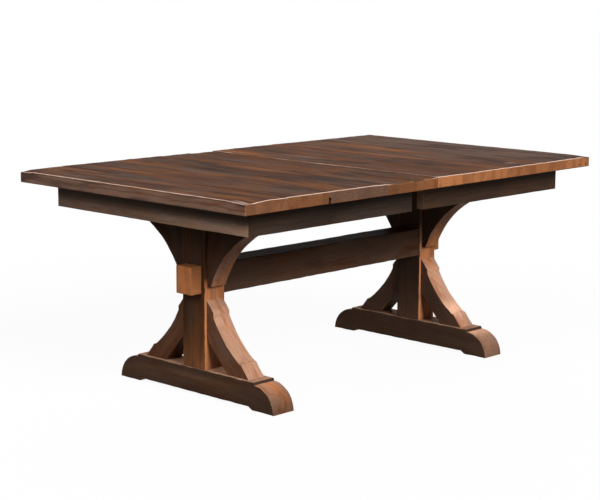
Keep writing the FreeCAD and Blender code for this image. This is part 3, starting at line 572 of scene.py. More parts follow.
@dataclass
class Timber:
    """A sawn timber: a rectangle with eased arrises carried along a path, and eased ends.

    The section has the two parameters s (across) and t (through). Its upper half goes round from one
    side over the face t = +half_through to the other side, and its lower half back. A ring near an end
    is drawn in by end_arris * (1 - sin) while the path has gone end_arris * (1 - cos). The end face is
    the last ring flattened towards t = 0 and zipped shut; end_sides says how much of the easing each of
    its two sides gets. Maps read the distance along the path, u = s / half_across and
    v = t / half_through; hollows read that distance and s; chip reads it, the side as -1 to 1 and the face.
    """

    name: str
    length: float
    path: Path
    spacing: float = 0.01
    stations: Array | None = None
    arrises: tuple[float, float] = (3 * MM, 3 * MM)
    end_arris: float = 3 * MM
    end_sides: tuple[float, float] = (1.0, 1.0)
    arris_play: float = 0.5
    face_points: int = 7
    hollows: dict[Face, Callable[[Array, Array], Array]] = field(default_factory=dict)
    side_wear: float = 0.0
    chip: Callable[[Array, Array, int], Array] | None = None
    pith: tuple[float, float] = (0.02, 0.07)
    tint: Map = lambda along, u, v: tones(0.0 * u, 0.0, 0.0)
    worn: Map = lambda along, u, v: 0.3 + 0.0 * u
    figure: Map = lambda along, u, v: 1.0 + 0.0 * u
    scuffs: Map = lambda along, u, v: 0.0 * u
    seed: int = 1

    # Places of points round a half section and along an end, as shares
    SIDE_PLACES = (0.3, 0.8, 1.0)
    RIM_PLACES = (0.97, 1.0)
    FACE_REACH = 0.85
    ARC_TURNS = (0.25, 0.5, 0.75)
    CAP_SHARES = (0.1, 0.45, 0.8)
    END_TURNS = (0.0, 0.2, 0.45, 0.7)
    RIM_WEAR = 0.5
    # Length and width of waves
    ARRIS_WAVE = (0.08, 1.0)
    EDGE_WAVE = (0.12, 0.05)
    EDGE_APART = 0.03
    LEAST_ARRIS = 0.2 * MM
    MOST_ARRIS = 0.45
    LEAST_HALF = 0.02 * MM
    LEAST_RINGS = 4
    END_LIMIT = 0.75
    GRAIN_PLAY = 40.0

    def template(self) -> dict[str, Array]:
        """Half section as multiples of half sizes and arris radius.

        Returns:
            Columns s_half, s_arris, t_half, t_arris and wear, in order round the half section.
        """
        side = np.array(self.SIDE_PLACES)
        turn = np.array(self.ARC_TURNS) * np.pi / 2
        rim = np.array(self.RIM_PLACES)
        face = np.linspace(-self.FACE_REACH, self.FACE_REACH, self.face_points)
        top = np.concatenate([-rim[::-1], face, rim])
        left = {
            "s_half": np.concatenate([-np.ones_like(side), -np.ones_like(turn)]),
            "s_arris": np.concatenate([np.zeros_like(side), 1 - np.cos(turn)]),
            "t_half": np.concatenate([side, np.ones_like(turn)]),
            "t_arris": np.concatenate([-side, np.sin(turn) - 1]),
            "wear": np.concatenate([(side == 1.0) * self.RIM_WEAR, np.ones_like(turn)]),
        }
        middle = {
            "s_half": top,
            "s_arris": -top,
            "t_half": np.ones_like(top),
            "t_arris": np.zeros_like(top),
            "wear": (np.abs(top) == 1.0) * self.RIM_WEAR,
        }
        mirror = {"s_half": -1.0, "s_arris": -1.0, "t_half": 1.0, "t_arris": 1.0, "wear": 1.0}
        return {key: np.concatenate([left[key], middle[key], sign * left[key][::-1]])
                for key, sign in mirror.items()}

    def sections(self) -> dict[str, Array]:
        """Where the rings lie.

        Returns:
            Columns along, inset, flat (share of the thickness) and end (1 on an end face).
        """
        turn = np.array(self.END_TURNS) * np.pi / 2
        caps = np.array(self.CAP_SHARES)
        along = np.concatenate([np.zeros_like(caps), self.end_arris * (1 - np.cos(turn))])
        inset = np.concatenate([np.full_like(caps, self.end_arris), self.end_arris * (1 - np.sin(turn))])
        flat = np.concatenate([caps, np.ones_like(turn)])
        end = np.concatenate([np.ones_like(caps), 1 - np.array(self.END_TURNS)])
        body = self.stations
        if body is None:
            count = max(self.LEAST_RINGS, round(self.length / self.spacing))
            body = np.linspace(self.end_arris, self.length - self.end_arris, count)
        zero = np.zeros_like(body)
        return {
            "along": np.concatenate([along, body, self.length - along[::-1]]),
            "inset": np.concatenate([inset, zero, inset[::-1]]),
            "flat": np.concatenate([flat, zero + 1, flat[::-1]]),
            "end": np.concatenate([end, zero, end[::-1]]),
        }

    def half(self, face: Face, rows: dict[str, Array], rings: Rings) -> tuple[Array, Array, Array]:
        """One half of every section.

        Args:
            face: which half.
            rows: the rings' places.
            rings: the rings' frames.

        Returns:
            s, t and wear of each point, one row per ring.
        """
        shape = self.template()
        inset = rows["inset"][:, None]
        high_share = (1 + shape["s_half"]) / 2
        side_share = self.end_sides[0] * (1 - high_share) + self.end_sides[1] * high_share
        half_s = rings.half_across[:, None] - inset * side_share
        half_t = rings.half_through[:, None] - inset
        play = Waves(2 * self.arris_play, *self.ARRIS_WAVE, self.seed * 7 + face.value)
        radius = self.arrises[0] * (1 - high_share) + self.arrises[1] * high_share
        radius = radius * (1 - self.arris_play + play.at(rows["along"], 0.0))[:, None]
        most = self.MOST_ARRIS * np.minimum(half_s, half_t)
        radius = np.minimum(np.maximum(radius - inset, self.LEAST_ARRIS), most)
        s = shape["s_half"] * half_s + shape["s_arris"] * radius
        t = shape["t_half"] * half_t + shape["t_arris"] * radius
        along = np.broadcast_to(rows["along"][:, None], s.shape)
        if self.side_wear:
            edge = Waves(self.side_wear, *self.EDGE_WAVE, self.seed * 11 + 3)
            s = s - shape["s_half"] * edge.at(along, np.sign(s) * self.EDGE_APART)
        if self.chip is not None:
            s = s - shape["s_half"] * self.chip(along, shape["s_half"] + 0 * s, face.value)
        if face in self.hollows:
            t = t - shape["t_half"] * self.hollows[face](along, s)
        t = np.maximum(t, self.LEAST_HALF) * rows["flat"][:, None] * face.value
        wear = np.maximum(shape["wear"][None, :], 4 * rows["end"][:, None] * (1 - rows["end"][:, None]))
        return s, t, wear * np.ones_like(s)

    def build(self, material: bpy.types.Material) -> bpy.types.Object:
        """Make the mesh with its maps and give it its material.

        Args:
            material: the wood.

        Returns:
            The new object.
        """
        rows = self.sections()
        rings = self.path(rows["along"])
        upper = self.half(Face.UPPER, rows, rings)
        lower = self.half(Face.LOWER, rows, rings)
        s, t, wear = (np.concatenate([up, down[:, ::-1]], axis=1) for up, down in zip(upper, lower))
        points = (rings.centre[:, None, :] + s[..., None] * rings.across[:, None, :]
                  + t[..., None] * rings.through[:, None, :])
        along = np.broadcast_to(rows["along"][:, None], s.shape)
        u = s / rings.half_across[:, None]
        v = t / rings.half_through[:, None]
        draw = np.random.default_rng(self.seed)
        grain_start = draw.uniform(0, self.GRAIN_PLAY)
        grain = np.stack([along + grain_start, s + self.pith[0], t + self.pith[1]], axis=-1)
        end = np.broadcast_to((rows["end"][:, None] > self.END_LIMIT) * 1.0, s.shape)
        worn = np.maximum(wear * self.worn(along, u, v), self.scuffs(along, u, v))
        return make_mesh(self.name, points, material,
                         vectors={"grain": grain, "tint": self.tint(along, u, v)},
                         numbers={"wear": worn, "end": end, "figure": self.figure(along, u, v)})


def make_mesh(name: str, points: Array, material: bpy.types.Material, vectors: dict[str, Array],
              numbers: dict[str, Array]) -> bpy.types.Object:
    """Put a grid of rings into a closed mesh: quads between rings, and each end zipped across.

    Args:
        name: the object's name.
        points: places, rings by points round the ring.
        material: its material.
        vectors: vector maps, one vector per point.
        numbers: number maps, one value per point.

    Returns:
        The new object, linked to the scene.
    """
    rings, around = points.shape[:2]
    index = np.arange(rings * around).reshape(rings, around)
    following = np.roll(index, -1, axis=1)
    walls = np.stack([index[:-1], following[:-1], following[1:], index[1:]], axis=-1).reshape(-1, 4)
    step = np.arange(around // 2 - 1)
    zip_first = np.stack([index[0, step], index[0, around - 1 - step],
                          index[0, around - 2 - step], index[0, step + 1]], axis=-1)
    zip_last = np.stack([index[-1, step], index[-1, step + 1],
                         index[-1, around - 2 - step], index[-1, around - 1 - step]], axis=-1)
    quads = np.concatenate([walls, zip_first, zip_last])
    flat = points.reshape(-1, 3)
    corner = flat[quads]
    volume = np.einsum("ij,ij->i", corner[:, 0], np.cross(corner[:, 1], corner[:, 2])).sum()
    volume += np.einsum("ij,ij->i", corner[:, 0], np.cross(corner[:, 2], corner[:, 3])).sum()
    if volume < 0:
        quads = quads[:, ::-1]
    mesh = bpy.data.meshes.new(name)
    mesh.vertices.add(len(flat))
    mesh.vertices.foreach_set("co", flat.astype(np.float32).ravel())
    mesh.loops.add(quads.size)
    mesh.loops.foreach_set("vertex_index", quads.astype(np.int32).ravel())
    mesh.polygons.add(len(quads))
    mesh.polygons.foreach_set("loop_start", np.arange(0, quads.size, 4, dtype=np.int32))
    mesh.polygons.foreach_set("use_smooth", np.ones(len(quads), dtype=bool))
    mesh.update(calc_edges=True)
    mesh.validate()
    mesh.set_sharp_from_angle(angle=math.radians(SHARP_ANGLE))
    for maps, kind, part in ((vectors, "FLOAT_VECTOR", "vector"), (numbers, "FLOAT", "value")):
        for title, values in maps.items():
            attribute = mesh.attributes.new(title, kind, "POINT")
            attribute.data.foreach_set(part, np.ascontiguousarray(values, dtype=np.float32).ravel())
    mesh.materials.append(material)
    piece = bpy.data.objects.new(name, mesh)
    bpy.context.scene.collection.objects.link(piece)
    return piece


def straight(start: Array, direction: Array, across: Array, through: Array,
             half_across: float, half_through: float) -> Path:
    """The path of a straight timber of one section.

    Args:
        start: middle of its first end.
        direction: unit vector along it.
        across: unit vector of s.
        through: unit vector of t.
        half_across: half its size along s.
        half_through: half its size along t.

    Returns:
        A function from distances along the timber to its rings.
    """
    def path(along: Array) -> Rings:
        """Rings at those distances."""
        ones = np.ones_like(along)
        return Rings(start + along[:, None] * direction, ones[:, None] * across, ones[:, None] * through,
                     ones * half_across, ones * half_through)
    return path


def put(piece: bpy.types.Object, node: str, body: str) -> None:
    """Let a piece stand for a CAD node on its body, and report it.

    Args:
        piece: the new piece.
        node: the CAD node that it replaces.
        body: the body that it rides on.
    """
    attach(piece, body)
    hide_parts(node)
    LOG.info("%s: %d faces on %s", piece.name, len(piece.data.polygons), body)


@dataclass(frozen=True)
class Patch:
    """A place on the top with soft edges, whose amount falls off as a Gaussian from its middle.

    The amount is a depth for a hollow or, below 0, a hump; a wear for a scuff; a tint for a streak.
    """

    x: float
    y: float
    spread_x: float
    spread_y: float
    amount: float | Tone

    def at(self, x: Array, y: Array) -> Array:
        """The amount at places on the top."""
        share = swell(x, self.x, self.spread_x) * swell(y, self.y, self.spread_y)
        return np.multiply.outer(share, self.amount)


@dataclass(frozen=True)
class BoardLook:
    """Tones of one board's face and sawn ends, and how far it lies below the CAD board."""

    face: Tone
    ends: Tone
    drop: float


@dataclass
class TopHalf:
    """The boards and aprons of one half of the top.

    Boards count from the seam. Dips lower the upper face, scuffs rub it pale and streaks tint it; a tone
    is light, warmth and greyness.
    """

    end: End
    looks: tuple[BoardLook, ...]
    dips: tuple[Patch, ...]
    scuffed: tuple[Patch, ...]
    streaks: tuple[Patch, ...]
    seed: int
    joint_gap: float = 0.3 * MM
    joint_arris: float = 0.4 * MM
    seam_arris: float = 2.0 * MM
    edge_arris: float = 2.0 * MM
    end_arris: float = 3.0 * MM
    apron_arris: float = 2.0 * MM
    joint_easing: float = 0.05
    seam_wear: float = 0.45
    sheen_wear_reach: float = 6 * MM
    edge_tone: Tone = (0.95, 0.0, 1.8)
    apron_light: float = -0.72
    apron_greyness: float = 0.9
    bare_gain: float = 0.9
    notch_board: int | None = None
    notch_depth: float = 11 * MM
    notch_reach: float = 30 * MM

    # Depth, length and width of waves
    BOARD_WAVES = (0.9 * MM, 0.5, 0.12)
    BOARD_RIPPLES = (0.4 * MM, 0.09, 0.04)
    APRON_WAVES = (0.6 * MM, 0.3, 0.06)
    # Limits of the zones that have their own tone, or their own wear and painted highlight
    BOARD_SAWN = 0.05 * MM
    APRON_SAWN = 0.3 * MM
    EDGE_ZONE = 0.9
    SHEEN_WEAR_LEVEL = 0.85
    SCUFF_LEVEL = 0.8
    NOTCH_SIDE = 0.5
    # Start and width of the ramp from painted light to painted shade up an end apron
    APRON_SHADE = (-0.5, 0.625)

    @property
    def body(self) -> str:
        """The CAD body that this half rides on."""
        return f"{label(self.end)}_top"

    def board(self, count: int, wood: bpy.types.Material) -> None:
        """Build one board, which runs across the table.

        Args:
            count: the board's number from the seam, from 0.
            wood: its material.
        """
        node = f"{self.body}_board_{count + 1}"
        look = self.looks[count]
        sign = self.end.value
        low, middle, half = node_box(node)
        length = 2 * half[1]
        seed = self.seed + count
        waves = Waves(*self.BOARD_WAVES, seed)
        ripples = Waves(*self.BOARD_RIPPLES, seed + 50)
        last = count == len(self.looks) - 1
        outer_arris = self.edge_arris if last else self.joint_arris
        inner_arris = self.seam_arris if count == 0 else self.joint_arris

        def total(patches: tuple[Patch, ...], along: Array, s: Array) -> Array:
            """Sum of the patches at places on this board."""
            return sum(patch.at(middle[0] + s, low[1] + along) for patch in patches)

        def hollow(along: Array, s: Array) -> Array:
            """Depth of wear of the upper face."""
            return waves.at(along, s) + ripples.at(along, s) + look.drop + total(self.dips, along, s)

        def tint(along: Array, u: Array, v: Array) -> Array:
            """Tone of the face with its streaks, of the sawn ends and of the table's outer edge."""
            sawn = (along < self.BOARD_SAWN) | (along > length - self.BOARD_SAWN)
            edge = last * (u * sign > SIDE_LIMIT) * (v < SIDE_LIMIT)
            face = look.face + total(self.streaks, along, u * half[0])
            return pick(sawn, look.ends, pick(edge, self.edge_tone, face))

        def worn(along: Array, u: Array, v: Array) -> Array:
            """Wear with a painted highlight line along the top's upper outer arrises and the seam,
            none in the joints.
            """
            # Pale wear and painted highlight on upper arrises: board ends, outer edge and seam
            near_end = (along < self.sheen_wear_reach) | (along > length - self.sheen_wear_reach)
            outer = last * (u * sign > self.EDGE_ZONE)
            seam = (count == 0) * (u * sign < -self.EDGE_ZONE) * self.seam_wear
            return np.maximum(np.maximum(near_end, outer), seam) * (v > self.SHEEN_WEAR_LEVEL)

        def scuffs(along: Array, u: Array, v: Array) -> Array:
            """Places on the upper face that are scuffed pale."""
            return total(self.scuffed, along, u * half[0]) * (v > self.SCUFF_LEVEL)

        def chip(along: Array, u: Array, face: int) -> Array:
            """A notch in the lower part of the front end, at the board's outer side."""
            place = (u * sign > self.NOTCH_SIDE) * (face < 0)
            return place * self.notch_depth * swell(along, 0.0, self.notch_reach)

        start = np.array([middle[0], low[1], middle[2]])
        path = straight(start, Y_AXIS, X_AXIS, Z_AXIS, half[0] - self.joint_gap / 2, half[2])
        draw = np.random.default_rng(seed)
        pith = (draw.uniform(-0.06, 0.06), draw.choice([-1, 1]) * draw.uniform(0.03, 0.1))
        timber = Timber(f"{node}_worn", length, path, spacing=0.009,
                        arrises=(inner_arris, outer_arris)[::sign], end_arris=self.end_arris,
                        end_sides=(self.joint_easing, 1.0 if last else self.joint_easing)[::sign],
                        arris_play=0.2, face_points=15, hollows={Face.UPPER: hollow}, side_wear=0.1 * MM,
                        chip=chip if count == self.notch_board else None,
                        pith=pith, tint=tint, worn=worn, scuffs=scuffs, seed=seed)
        put(timber.build(wood), node, self.body)

    def apron(self, place: ApronPlace, wood: bpy.types.Material) -> None:
        """Build one apron board.

        Args:
            place: which of the three.
            wood: its material.
        """
        node = f"{label(self.end)}_{label(place)}_apron"
        middle, half = node_box(node)[1:]
        axis = 1 if place is ApronPlace.END else 0
        thin = 1 - axis
        length = 2 * half[axis]
        direction = (X_AXIS, Y_AXIS)[axis]
        start = middle - half[axis] * direction
        path = straight(start, direction, Z_AXIS, (X_AXIS, Y_AXIS)[thin], half[2], half[thin])
        seed = self.seed + 20 + place.value
        faces = {face: Waves(*self.APRON_WAVES, seed + face.value).at for face in Face}

        def tint(along: Array, u: Array, v: Array) -> Array:
            """Side aprons are stained darker, with bare ends at the seam; end aprons have painted shade above
            and painted light low down, most near the front corner.
            """
            sawn = (along < self.APRON_SAWN) | (along > length - self.APRON_SAWN)
            if place is ApronPlace.END:
                # Painted light low near the front corner and painted shade under the top's overhang
                near = 1 - along / length
                above = ramp(u, *self.APRON_SHADE)
                painted_lower_light = 0.05 + 1.35 * near
                painted_upper_shade = -0.55 - 0.05 * near
                painted_face_light = painted_lower_light * (1 - above) + painted_upper_shade * above
                return tones(np.where(sawn, self.apron_light, painted_face_light), 0.0, 0.3)
            bare = 1.0 * sawn * (self.end.value * (along - half[axis]) < 0)
            return tones(self.apron_light + self.bare_gain * bare, 0.0, self.apron_greyness * (1 - bare))

        timber = Timber(f"{node}_worn", length, path, spacing=0.012,
                        arrises=(self.apron_arris, self.apron_arris), end_arris=0.4 * MM, hollows=faces,
                        side_wear=0.6 * MM, pith=(0.03, 0.05), tint=tint,
                        worn=lambda along, u, v: 0.0 * u, seed=seed)
        put(timber.build(wood), node, self.body)

    def build(self, board_wood: bpy.types.Material, apron_wood: bpy.types.Material) -> None:
        """Build every board and apron of this half.

        Args:
            board_wood: wood of the boards.
            apron_wood: wood of the aprons.
        """
        for count in range(len(self.looks)):
            self.board(count, board_wood)
        for place in ApronPlace:
            self.apron(place, apron_wood)


@dataclass
class Trestle:
    """One trestle: foot, post and four braces.

    The glints-and-grey share is 1 for a trestle with painted glints on its toes and lower cusps, a brighter
    painted sheen on its brace edges, less painted shadow on its post and greyer faces, and 0 for one with a
    redder streak along its foot.
    """

    end: End
    seed: int
    glints_and_grey: float = 0.0
    foot_height: float = 97 * MM
    foot_step: float = 9 * MM
    foot_ease: float = 2.5 * MM
    foot_ledge: float = 4 * MM
    platform_margin: float = 35 * MM
    pad_length: float = 100 * MM
    arch_ramp: float = 19 * MM
    arch_height: float = 10 * MM
    post_face: float = 56 * MM
    glue_line: float = 0.3
    lower_reach: float = 202 * MM
    lower_rise: float = 242 * MM
    inner_reach: float = 99 * MM
    inner_rise: float = 108 * MM
    scoop_low_inset: float = 39 * MM
    scoop_high_inset: float = 32 * MM
    scoop_ledge: float = 6 * MM
    scoop_drop: float = 14 * MM
    scoop_radius: float = 416 * MM
    lower_half: float = 38 * MM
    upper_half: float = 35 * MM
    brace_gap: float = 47 * MM
    upper_tip: float = 18 * MM
    upper_end: float = 326 * MM
    upper_nose: float = 30 * MM
    upper_radius: float = 365 * MM
    head_level: float = 640 * MM

    # Depth, length and width of waves
    FOOT_WAVES = (0.5 * MM, 0.3, 0.08)
    POST_WAVES = (0.6 * MM, 0.3, 0.08)
    BRACE_WAVES = (0.5 * MM, 0.25, 0.06)
    # Middle and spread of a swell, or start and width of a ramp
    STREAK_PLACE = (0.06, 0.2)
    STREAK_LEVEL = (0.1, 0.35)
    POST_FOOT = (0.25, -0.25)
    POST_HEAD = (0.29, 0.03)
    CUSP = (0.09, 0.035)
    CROWN = (0.27, 0.03)
    TIP = (0.0, 0.09)

    @property
    def x(self) -> float:
        """Where the trestle stands along the table."""
        return node_box(f"{label(self.end)}_post")[1][0]

    def foot(self, wood: bpy.types.Material) -> None:
        """Build the foot: at each place along Y a rectangle between the underside and the top line.

        Args:
            wood: its material.
        """
        node = f"{label(self.end)}_foot"
        middle, half = node_box(node)[1:]
        shoulder = self.foot_height - self.foot_step
        platform = self.post_face + self.lower_reach + self.platform_margin
        nose = platform + self.foot_ledge
        toe = middle[1] + half[1]
        pad = toe - self.pad_length
        arch = pad - self.arch_ramp

        def top_line(y: Array) -> Array:
            """Top of the foot: quarter round, ledge, eased step and platform."""
            off = np.abs(y)
            quarter = np.sqrt(np.maximum(shoulder ** 2 - np.maximum(off - nose, 0.0) ** 2, 0.0))
            rise = ramp(off, platform, -self.foot_ease)
            return np.where(off > nose, quarter, shoulder + self.foot_step * np.sqrt(rise * (2 - rise)))

        def underside(y: Array) -> Array:
            """Underside: flat pads, ramps and a shallow arch."""
            return self.arch_height * ramp(np.abs(y), pad, -self.arch_ramp)

        def path(along: Array) -> Rings:
            """Rings at distances from the front toe."""
            y = along - toe
            top = np.maximum(top_line(y), 1.0 * MM)
            bottom = underside(y)
            ones = np.ones_like(y)
            centre = np.stack([ones * self.x, y, (top + bottom) / 2], axis=-1)
            return Rings(centre, ones[:, None] * X_AXIS, ones[:, None] * Z_AXIS, ones * half[0],
                         (top - bottom) / 2)

        def tint(along: Array, u: Array, v: Array) -> Array:
            """Dark sides with a redder streak; platform painted paler as a reflection, with painted shadow in
            the riser under its edge; toes lighter and more orange above and darker below, with a painted
            glint on top for a glinting trestle.
            """
            side = (np.abs(u) > SIDE_LIMIT) * (np.abs(v) < 0.995)
            off = np.abs(along - toe)
            streak = swell(along - toe, *self.STREAK_PLACE) * swell(v, *self.STREAK_LEVEL) * (1 - self.glints_and_grey)
            side_tone = tones(0.3 * self.glints_and_grey - 0.58 + 0.55 * streak, 1.2 * streak - 0.3,
                              1 - 1.4 * streak + 1.2 * self.glints_and_grey)
            fall = ramp(off, nose, toe - nose)
            # Painted glint: a highlight painted on the top of a glinting trestle's toes
            glint = (2.8 * np.clip(1 - 1.8 * fall, 0, 1) + 0.4 * fall) * self.glints_and_grey
            toe_tone = tones(2.1 - 2.2 * fall + glint, 0.3 + 0.9 * (1 - fall), 0.5 + 1.1 * self.glints_and_grey)
            # Painted shadow in the riser and ledge under the platform's edge
            riser_shadow = (off > platform - 0.9 * self.foot_ease) * (off < nose - 0.1 * MM)
            # The platform is painted paler and greyer as a painted reflection
            platform_sheen_tone = tones(1.7 - 2.3 * riser_shadow, -0.3, 1.6)
            return pick(side, side_tone, pick(off > nose, toe_tone, platform_sheen_tone))

        turn = np.linspace(0.03, np.pi / 2, 22)
        steps = platform - self.foot_ease * np.array([0.0, 0.08, 0.25, 0.5, 0.8, 1.0])
        corners = np.array([pad + 1 * MM, pad, arch, arch - 1 * MM])
        inside = np.arange(0.005, platform, 0.012)
        outer = np.concatenate([nose + shoulder * np.cos(turn), steps, corners, inside])
        stations = np.sort(np.concatenate([-outer, outer])) + toe
        faces = {Face.UPPER: Waves(*self.FOOT_WAVES, self.seed + 1).at}
        timber = Timber(f"{node}_worn", 2 * toe, path, stations=stations, arrises=(3.2 * MM, 3.2 * MM),
                        end_arris=0.3 * MM, hollows=faces, side_wear=0.7 * MM,
                        pith=(0.03, 0.06), tint=tint, seed=self.seed)
        put(timber.build(wood), node, "base")

    def post(self, wood: bpy.types.Material) -> None:
        """Build the post, of two timbers glued side by side.

        Args:
            wood: its material.
        """
        node = f"{label(self.end)}_post"
        half = node_box(node)[2]
        length = self.head_level - self.foot_height
        start = np.array([self.x, 0.0, self.foot_height])
        path = straight(start, Z_AXIS, X_AXIS, Y_AXIS, half[0], self.post_face)
        faces = {face: Waves(*self.POST_WAVES, self.seed + 5 + face.value).at for face in Face}

        def tint(along: Array, u: Array, v: Array) -> Array:
            """Dark sides, painted lighter towards the foot; the front and back show two laminations, the +X
            one more orange, with painted shadow high up and, on a trestle without glints, towards the foot.
            """
            second = (u > self.glue_line) * 1.0
            low = ramp(along, *self.POST_FOOT)
            high = ramp(along, *self.POST_HEAD)
            # Painted shadow on the front and back, high up and towards the foot
            shadow = (2.3 - self.glints_and_grey) * high + 0.8 * (1 - self.glints_and_grey) * low
            front_tone = tones(1.8 - 0.7 * second - shadow, 0.6 + 0.6 * second, 0.2 - second)
            # Painted light on the sides towards the foot
            side_tone = tones(0.6 * low ** 2 - 0.62 + 0.06 * self.glints_and_grey, 0.2 + low,
                              0.5 - low + 1.5 * self.glints_and_grey)
            return pick(np.abs(v) > SIDE_LIMIT, front_tone, side_tone)

        timber = Timber(f"{node}_worn", length, path, spacing=0.012, arrises=(3.5 * MM, 3.5 * MM),
                        end_arris=1 * MM, face_points=9, hollows=faces, side_wear=0.6 * MM,
                        pith=(-0.03, 0.02), tint=tint, seed=self.seed + 4)
        put(timber.build(wood), node, "base")

    def brace_path(self, inner: Array, outer: Array, side: Side, half: float) -> tuple[Path, Array]:
        """Rings of a brace: each spans from its inner line to its outer line.

        Args:
            inner: points (y, z) of the inner line.
            outer: points (y, z) of the outer line, as many.
            side: front or back.
            half: half the brace's thickness.

        Returns:
            The path by distance along the outer line, and that distance at each of its points.
        """
        reach = np.concatenate([[0.0], np.cumsum(np.linalg.norm(np.diff(outer, axis=0), axis=1))])

        def line(points: Array, along: Array) -> Array:
            """Points in space at those distances."""
            y, z = (np.interp(along, reach, points[:, part]) for part in range(2))
            return np.stack([np.full_like(y, self.x), side.value * y, z], axis=-1)

        def path(along: Array) -> Rings:
            """Rings at those distances."""
            first = line(inner, along)
            second = line(outer, along)
            span = second - first
            size = np.linalg.norm(span, axis=1)
            through = np.ones_like(along)[:, None] * X_AXIS
            return Rings((first + second) / 2, span / size[:, None], through, size / 2,
                         np.full_like(along, half))

        return path, reach

    def brace(self, level: Level, side: Side, wood: bpy.types.Material) -> None:
        """Build one brace between its inner and outer line.

        Args:
            level: lower or upper.
            side: front or back.
            wood: its material.
        """
        node = f"{label(self.end)}_{label(side)}_{label(level)}_brace"
        lower = level is Level.LOWER
        back = side is Side.BACK
        inner, outer = self.lower_lines() if lower else self.upper_lines()
        path, reach = self.brace_path(inner, outer, side, self.lower_half if lower else self.upper_half)
        seed = self.seed + 30 + 3 * side.value + level.value
        faces = {face: Waves(*self.BRACE_WAVES, seed + face.value).at for face in Face}
        # Painted shade on the broad faces of the upper braces and of the back braces
        painted_face_light = (0.2 * self.glints_and_grey - 0.25) * back if lower else -0.52 - 0.1 * back
        face_tone = (painted_face_light, 0.1, (0.1 if lower else 0.4) + 1.5 * self.glints_and_grey)

        def tint(along: Array, u: Array, v: Array) -> Array:
            """The outer edge is painted paler as a sheen, with a painted glint at the lower cusp of a
            glinting trestle and painted light at an upper brace's lower tip; the broad faces stay dark.
            """
            edge = (u > 0.9) * (np.abs(v) < SIDE_LIMIT)
            if lower:
                # Painted sheen on the edge, fading near the upper end, with a painted glint at the cusp
                cusp_glint = swell(along, *self.CUSP) * self.glints_and_grey
                crown = ramp(along, *self.CROWN)
                edge_tone = tones(2.0 - 0.5 * crown + 0.4 * self.glints_and_grey + 2.4 * cusp_glint, 0.2, 1.0 + 1.2 * cusp_glint)
            else:
                # Painted light on an upper brace's outer edge, most at its lower tip
                tip = swell(along, *self.TIP)
                edge_tone = tones(0.7 + 0.6 * tip, 0.4 + tip, 0.8 - 0.6 * tip)
            return pick(edge, edge_tone, face_tone)

        timber = Timber(f"{node}_worn", reach[-1], path, stations=reach[1:-1], arrises=(2.6 * MM, 2.6 * MM),
                        end_arris=0.3 * MM, face_points=9, hollows=faces, pith=(0.05, 0.03), tint=tint,
                        seed=seed)
        put(timber.build(wood), node, "base")

    def lower_lines(self) -> tuple[Array, Array]:
        """Inner and outer line of a lower brace.

        Returns:
            Points (y, z): the outer line has a ledge, a scooped arc and a drop.
        """
        slope = self.lower_rise / self.lower_reach
        low = self.lower_reach - self.scoop_low_inset
        low_level = self.foot_height + self.scoop_low_inset * slope
        high_level = self.foot_height + (self.lower_reach - self.scoop_high_inset) * slope
        first = np.array([low - self.scoop_ledge, low_level])
        last = np.array([self.scoop_high_inset, high_level - self.scoop_drop])
        arc = arc_points(first, last, self.scoop_radius, 26)
        foot = np.linspace([self.lower_reach, self.foot_height], [low, low_level], 7)
        head = np.linspace([self.scoop_high_inset, high_level], [0.0, self.foot_height + self.lower_rise], 7)
        outer = np.concatenate([foot, arc, head])
        share = np.linspace(0, 1, len(outer))[:, None]
        inner = (np.array([self.inner_reach, self.foot_height]) * (1 - share)
                 + np.array([0.0, self.foot_height + self.inner_rise]) * share)
        offset = np.array([self.post_face, 0.0])
        return inner + offset, outer + offset

    def upper_lines(self) -> tuple[Array, Array]:
        """Inner and outer line of an upper brace.

        Returns:
            Points (y, z): the inner line goes up the post and along the head rail, the outer one is an arc.
        """
        tip = self.foot_height + self.lower_rise + self.brace_gap
        first = np.array([self.post_face + self.upper_tip, tip])
        last = np.array([self.upper_end, self.head_level - self.upper_nose])
        outer = arc_points(first, last, self.upper_radius, 48)
        half = len(outer) // 2
        up = np.linspace([self.post_face, tip], [self.post_face, self.head_level], half, endpoint=False)
        along = np.linspace([self.post_face, self.head_level], [self.upper_end, self.head_level],
                            len(outer) - half)
        return np.concatenate([up, along]), outer

    def build(self, wood: bpy.types.Material) -> None:
        """Build the whole trestle.

        Args:
            wood: its material.
        """
        self.foot(wood)
        self.post(wood)
        for side in Side:
            for level in Level:
                self.brace(level, side, wood)


def arc_points(first: Array, last: Array, radius: float, count: int) -> Array:
    """Points on the arc between two points, with its centre on the right of the way there.

    Args:
        first: start of the arc.
        last: end of the arc.
        radius: its radius.
        count: number of points.

    Returns:
        The points, both ends among them.
    """
    chord = last - first
    size = np.linalg.norm(chord)
    right = np.array([chord[1], -chord[0]]) / size
    centre = (first + last) / 2 + right * math.sqrt(radius ** 2 - (size / 2) ** 2)
    angles = np.unwrap([math.atan2(*(point - centre)[::-1]) for point in (first, last)])
    sweep = np.linspace(angles[0], angles[1], count)
    return centre + radius * np.stack([np.cos(sweep), np.sin(sweep)], axis=-1)


